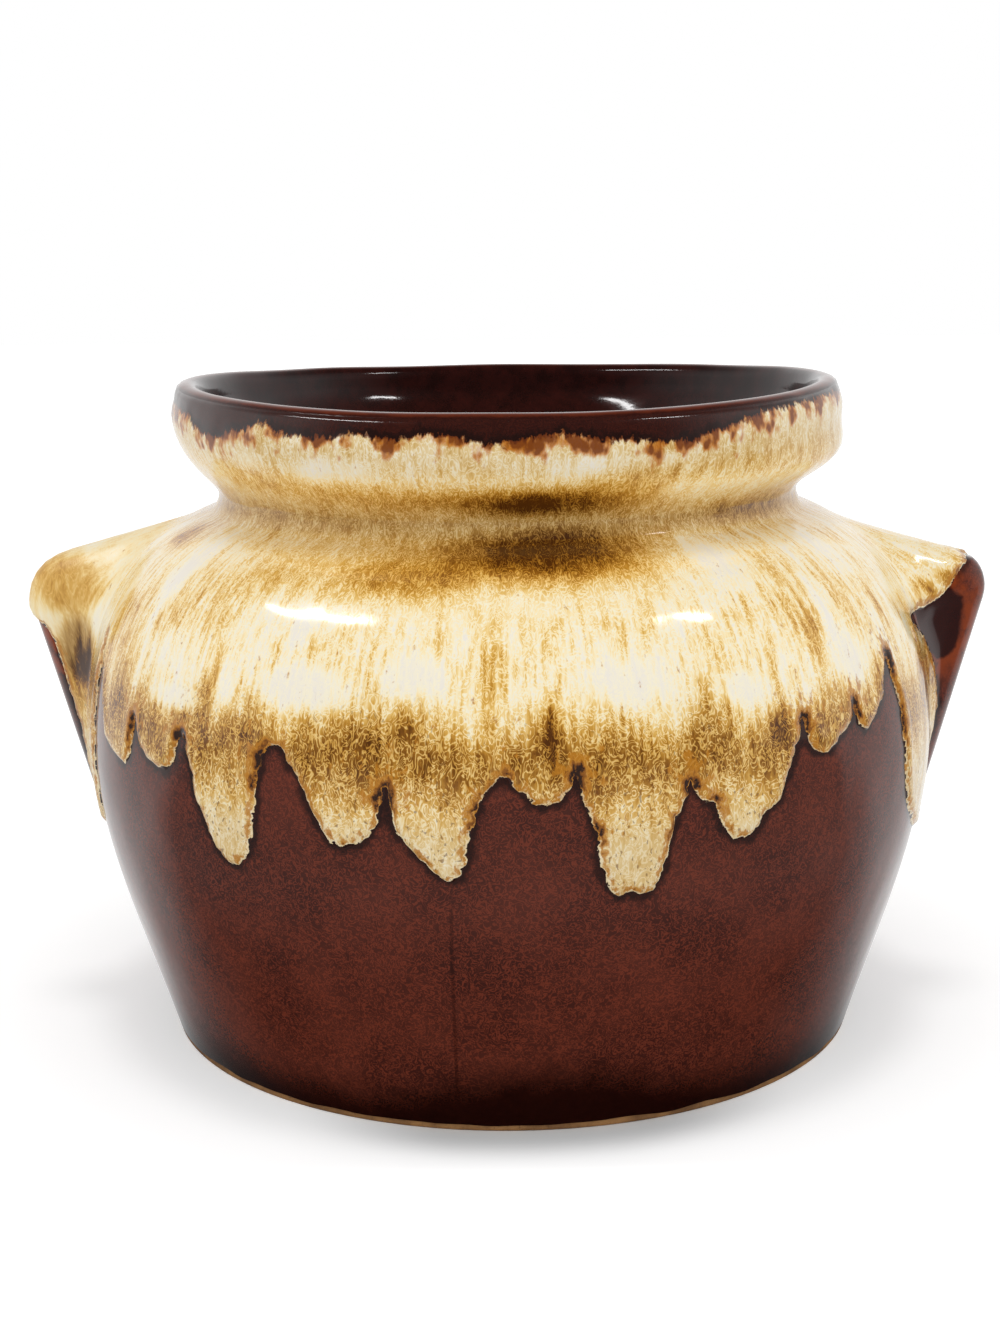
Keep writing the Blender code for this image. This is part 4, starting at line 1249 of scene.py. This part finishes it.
def make_cream_glaze():
    """Cream by its tone, torn at the hem with a painted highlight along it, rusty at the rim, and brown
    beyond both.
    """
    material, tree, shader = start_material("cream_glaze")
    place, parts = object_place(tree)
    flow = measure(tree, "flow", "Vector")
    tan = measure(tree, "tan")
    fine = noise_on(tree, flow, 1.8, stretch=(1.0, 1.0, 0.35), detail=2.0, roughness=0.6)
    fringe = noise_on(tree, place, 480.0, detail=4.0, roughness=0.6)
    hem_way = reckon(tree, "ADD", measure(tree, "hem"), around_half(tree, fringe, 3.2))
    shreds = noise_on(tree, flow, 0.6, stretch=(1.0, 1.0, 0.7), detail=4.0, roughness=0.65)
    rim_way = reckon(tree, "ADD", measure(tree, "rim"), around_half(tree, shreds, 5.0))
    rusty = noise_on(tree, flow, 0.17, detail=2.0, roughness=0.6)
    rust_way = reckon(tree, "ADD", rim_way, around_half(tree, rusty, -22.0))

    tone = thickness_tone(tree, flow, fine)
    colour = mixed(tree, tan, graded(tree, tone, AMBER_RUN), graded(tree, tone, TAN_RUN))
    specks = noise_on(tree, flow, 1.7, stretch=(1.0, 1.0, 0.6), detail=0.0)
    speck = reckon(tree, "MULTIPLY", rise(tree, specks, 0.68, 0.76), measure(tree, "fuzz"))
    colour = mixed(tree, scaled(tree, speck, 0.6), colour, SPECK_BROWN)
    tear = torn(tree, flow, fine, hem_way)
    for low, high, share, stain in ((0.56, 0.7, 0.85, TEAR_AMBER), (0.76, 0.88, 0.85, TEAR_BROWN),
                                    (0.9, 1.02, 0.95, TEAR_BLACK)):
        colour = mixed(tree, scaled(tree, rise(tree, tear, low, high), share), colour, stain)
    # Painted highlight: a pale line just inside the hem, where light would catch the bead's edge.
    line = reckon(tree, "MULTIPLY", rise(tree, hem_way, 0.0, 0.12), rise(tree, hem_way, 0.75, 0.3))
    line = reckon(tree, "MULTIPLY", line, rise(tree, tear, 0.72, 0.58))
    colour = mixed(tree, scaled(tree, line, 0.45), colour, HEM_HIGHLIGHT)
    for way, low, high, share, stain in ((rust_way, 3.2, 0.6, 0.85, RUST_AMBER),
                                         (rust_way, 1.2, -0.6, 0.85, RUST_BROWN),
                                         (rim_way, 0.8, 0.2, 0.9, RIM_BROWN)):
        colour = mixed(tree, scaled(tree, rise(tree, way, low, high), share), colour, stain)
    either_way = reckon(tree, "MINIMUM", hem_way, rim_way)
    brown = brown_colours(tree, place, parts["Z"], either_way)
    colour = mixed(tree, rise(tree, either_way, 0.1, 0.0), colour, brown)

    feed(tree, shader.inputs["Base Color"], colour)
    feed(tree, shader.inputs["Roughness"], reckon(tree, "MULTIPLY_ADD", measure(tree, "dry"), 0.3, 0.12))
    shader.inputs["IOR"].default_value = GLASS
    ripple = noise_on(tree, place, 90.0, detail=1.0)
    bumpy(tree, shader, reckon(tree, "MULTIPLY_ADD", fine, 0.03, ripple), 0.0004)
    return material


cream_glaze = make_cream_glaze()
print("cream_glaze has", len(cream_glaze.node_tree.nodes), "nodes")

# %% [markdown]
# ## The bare clay
#
# Tan stoneware, dry and a little sandy. It could be one flat colour, but fired clay never is: it has soft
# clouds and dark grains, and the grains also roughen it.

# %% Bare clay
DARK_CLAY, LIGHT_CLAY, SAND = paint(118, 80, 42), paint(158, 114, 66), paint(96, 62, 34)


def make_bare_clay():
    """Tan in soft clouds, with darker grains."""
    material, tree, shader = start_material("bare_clay")
    place, _ = object_place(tree)
    cloud = noise_on(tree, place, 130.0, detail=4.0, roughness=0.6)
    colour = mixed(tree, rise(tree, cloud, 0.35, 0.65), DARK_CLAY, LIGHT_CLAY)
    sand = noise_on(tree, place, 2600.0, detail=1.0)
    colour = mixed(tree, scaled(tree, rise(tree, sand, 0.6, 0.75), 0.5), colour, SAND)
    feed(tree, shader.inputs["Base Color"], colour)
    feed(tree, shader.inputs["Roughness"], reckon(tree, "MULTIPLY_ADD", cloud, 0.2, 0.7))
    bumpy(tree, shader, sand, 0.0002)
    return material


bare_clay = make_bare_clay()
print("bare_clay has", len(bare_clay.node_tree.nodes), "nodes")

# %% [markdown]
# ## Each piece takes its node's place
#
# The frame's solids stay for weight and collision, and each modelled piece stands for one of them. Nothing
# on a pot moves, so all of them ride on the one body.

# %% Dress the pieces and hand them to the frame
PIECES = (
    (pot_body, "vessel", brown_glaze, "brown_glaze"),
    (foot_edge, "foot_ring", bare_clay, "bare_clay"),
    (ear_left, "left_ear", brown_glaze, "brown_glaze"),
    (ear_right, "right_ear", brown_glaze, "brown_glaze"),
    (cream_coat, "cream_glaze", cream_glaze, "cream_glaze"),
)
for piece, node, material, slot in PIECES:
    piece.data.materials.append(material)
    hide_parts(node)
    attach(piece, "root")
    print(f"{piece.name} stands for {node}")

# %% [markdown]
# ## A small studio
#
# White all round, as on a product table. Floor and room are white for the camera, and the room behind the
# pot is white in the glaze's reflections too, but the light that falls on the pot is set apart from both,
# so colours stay as written. Two narrow soft boxes above the pot's shoulders show in gloss alone and draw
# the two bright bars on the glaze.

# %% The floor
def ray_kinds(tree):
    """1 for what the camera sees, also through glass, and 1 for what gloss mirrors."""
    path = tree.nodes.new("ShaderNodeLightPath")
    seen = reckon(tree, "MAXIMUM", path.outputs["Is Camera Ray"], path.outputs["Is Transmission Ray"])
    return seen, path.outputs["Is Glossy Ray"]


FLOOR_SIZE = 6.0
FLOOR_GREY = 0.93
# Painted light: a glow on the floor that the camera sees, some all round and more of it in front of the
# pot.
FLOOR_GLOW = 0.32
AHEAD_FROM, AHEAD_FULL, AHEAD_GLOW = -0.098, -0.11, 0.2
# Painted shadow: the glow is left out in a dark line where the pot touches the floor, in metres from the
# middle, to the side and to the front.
SHADE_NEAR, SHADE_FAR = 0.086, 0.1
SHADE_X, SHADE_HALF, SHADE_CORE = 0.008, 0.06, 0.02
SHADE_FRONT = -0.05
# Painted reflection: the floor glows in the glaze's mirror, white behind the pot and a little in front, and
# is left dark near the pot.
WHITE_FROM, WHITE_FULL = -0.08, 0.04
MIRROR_NEAR, MIRROR_FAR, MIRROR_FRONT = 0.096, 0.19, 0.32


def make_floor():
    """A square of floor, matt for light, with a glow for the camera and a white for the glaze's mirror."""
    bm = bmesh.new()
    bmesh.ops.create_grid(bm, x_segments=1, y_segments=1, size=FLOOR_SIZE / 2.0)
    mesh = bpy.data.meshes.new("floor")
    bm.to_mesh(mesh)
    bm.free()
    floor = bpy.data.objects.new("floor", mesh)
    bpy.context.scene.collection.objects.link(floor)
    material = bpy.data.materials.new("floor")
    material.use_nodes = True
    tree = material.node_tree
    tree.nodes.clear()
    place, parts = object_place(tree)
    measured = tree.nodes.new("ShaderNodeVectorMath")
    measured.operation = "LENGTH"
    tree.links.new(place, measured.inputs[0])
    away = measured.outputs["Value"]
    seen, shiny = ray_kinds(tree)

    matt = tree.nodes.new("ShaderNodeBsdfDiffuse")
    matt.inputs["Color"].default_value = (FLOOR_GREY, FLOOR_GREY, FLOOR_GREY, 1.0)
    # Painted shadow: the glow is taken away close in front of the foot.
    contact_shadow = rise(tree, away_from(tree, parts["X"], SHADE_X), SHADE_HALF, SHADE_CORE)
    contact_shadow = reckon(tree, "MULTIPLY", contact_shadow, rise(tree, parts["Y"], 0.0, SHADE_FRONT))
    contact_shadow = reckon(tree, "MULTIPLY", contact_shadow, rise(tree, away, SHADE_FAR, SHADE_NEAR))
    clear = scaled(tree, reckon(tree, "SUBTRACT", 1.0, contact_shadow), FLOOR_GLOW)
    ahead = rise(tree, parts["Y"], AHEAD_FROM, AHEAD_FULL)
    clear = reckon(tree, "MULTIPLY_ADD", ahead, AHEAD_GLOW, clear)
    glow = tree.nodes.new("ShaderNodeEmission")
    feed(tree, glow.inputs["Strength"], reckon(tree, "MULTIPLY", seen, clear))
    lit = tree.nodes.new("ShaderNodeAddShader")
    tree.links.new(matt.outputs[0], lit.inputs[0])
    tree.links.new(glow.outputs[0], lit.inputs[1])

    # Painted reflection: the floor glows for gloss, but not near the pot.
    back = rise(tree, parts["Y"], WHITE_FROM, WHITE_FULL)
    front = scaled(tree, rise(tree, away, MIRROR_NEAR, MIRROR_FAR), MIRROR_FRONT)
    mirrored = tree.nodes.new("ShaderNodeEmission")
    feed(tree, mirrored.inputs["Strength"], reckon(tree, "MAXIMUM", back, front))
    either = tree.nodes.new("ShaderNodeMixShader")
    for socket, source in zip(either.inputs, (shiny, lit.outputs[0], mirrored.outputs[0])):
        tree.links.new(source, socket)
    out = tree.nodes.new("ShaderNodeOutputMaterial")
    tree.links.new(either.outputs[0], out.inputs["Surface"])
    mesh.materials.append(material)


make_floor()
print(f"A floor of {FLOOR_SIZE:.0f} m")

# %% The room's light: brighter from the front for matt surfaces, and white at the sides for gloss
FRONT_LIGHT, BACK_LIGHT = 1.05, 0.5
FRONT_GLOSS, SIDE_GLOSS = 0.07, 1.0
# Where the light changes, as parts of a direction: -1 is straight ahead of the pot or down.
MATT_BACK, MATT_FRONT = 0.7, -0.7
GLOSS_FRONT, GLOSS_SIDE = -0.75, 0.1
GLOSS_ABOVE, GLOSS_LEVEL = 0.9, 0.3


def make_room():
    """Light by its direction, one amount for matt surfaces, one for gloss, and white for the camera."""
    world = bpy.data.worlds.new("room")
    world.use_nodes = True
    bpy.context.scene.world = world
    tree = world.node_tree
    background = tree.nodes["Background"]
    way = tree.nodes.new("ShaderNodeTexCoord").outputs["Generated"]
    parts = tree.nodes.new("ShaderNodeSeparateXYZ")
    tree.links.new(way, parts.inputs[0])
    behind = rise(tree, parts.outputs["Y"], GLOSS_FRONT, GLOSS_SIDE)
    behind = reckon(tree, "MULTIPLY", behind, rise(tree, parts.outputs["Z"], GLOSS_ABOVE, GLOSS_LEVEL))
    gloss = reckon(tree, "MULTIPLY_ADD", behind, SIDE_GLOSS - FRONT_GLOSS, FRONT_GLOSS)
    ahead = rise(tree, parts.outputs["Y"], MATT_BACK, MATT_FRONT)
    matt = reckon(tree, "MULTIPLY_ADD", ahead, FRONT_LIGHT - BACK_LIGHT, BACK_LIGHT)
    seen, shiny = ray_kinds(tree)
    strength = reckon(tree, "MULTIPLY", reckon(tree, "SUBTRACT", 1.0, shiny), matt)
    strength = reckon(tree, "MULTIPLY_ADD", shiny, gloss, strength)
    feed(tree, background.inputs["Strength"], reckon(tree, "MAXIMUM", strength, seen))
    background.inputs["Color"].default_value = (1.0, 1.0, 1.0, 1.0)


make_room()
print(f"Room light {BACK_LIGHT} to {FRONT_LIGHT}")

# %% Two narrow soft boxes for the highlights, and a wide lamp above for the collar's shadow
AIM = Vector((0.0, 0.0, 0.09))
BOX_FAR, SUN_FAR = 1.2, 1.5


def direction(azimuth, elevation):
    """The way to a lamp; azimuth 0 is the camera's side and 90 the right."""
    turn, tilt = math.radians(azimuth), math.radians(elevation)
    return Vector((math.sin(turn) * math.cos(tilt), -math.cos(turn) * math.cos(tilt), math.sin(tilt)))


def hang(name, lamp, way, far):
    """Hang a lamp so that it faces the pot."""
    holder = bpy.data.objects.new(name, lamp)
    holder.location = AIM + way * far
    holder.rotation_euler = way.to_track_quat("Z", "Y").to_euler()
    bpy.context.scene.collection.objects.link(holder)
    return holder


def soft_box(name, azimuth, elevation, roll, width, height, watts):
    """A rectangle of light that only gloss shows, turned about its own axis by the roll."""
    lamp = bpy.data.lights.new(name, "AREA")
    lamp.shape = "RECTANGLE"
    lamp.size, lamp.size_y = width, height
    lamp.energy = watts
    box = hang(name, lamp, direction(azimuth, elevation), BOX_FAR)
    box.rotation_euler.rotate_axis("Z", math.radians(roll))
    box.visible_diffuse = False


soft_box("left_box", -79.0, 53.0, 26.0, 0.48, 0.055, 3.2)
soft_box("right_box", 69.0, 50.5, -52.0, 0.18, 0.05, 1.2)
overhead = bpy.data.lights.new("overhead", "SUN")
overhead.energy = 0.42
overhead.angle = math.radians(12.0)
hang("overhead", overhead, direction(0.0, 86.0), SUN_FAR).visible_glossy = False
print("Two soft boxes and one lamp above")

# %% [markdown]
# ## The camera
#
# Its height, distance and lens were found by fitting the turned profile to the photograph's outline.

# %% The camera at the photograph's place
CAMERA_PLACE = Vector((-0.00222, -0.4989, 0.1902))
CAMERA_PITCH, CAMERA_ROLL = 78.0, -0.61
LENS = 56.25

camera_data = bpy.data.cameras.new("camera")
camera_data.lens = LENS
camera = bpy.data.objects.new("camera", camera_data)
pitched = Matrix.Rotation(math.radians(CAMERA_PITCH), 4, "X")
rolled = Matrix.Rotation(math.radians(CAMERA_ROLL), 4, "Z")
camera.matrix_world = Matrix.Translation(CAMERA_PLACE) @ (pitched @ rolled)
bpy.context.scene.collection.objects.link(camera)
bpy.context.scene.camera = camera
bpy.context.scene.view_settings.view_transform = "Standard"
print(f"Camera {-CAMERA_PLACE.y:.2f} m in front of the pot, lens {LENS} mm")
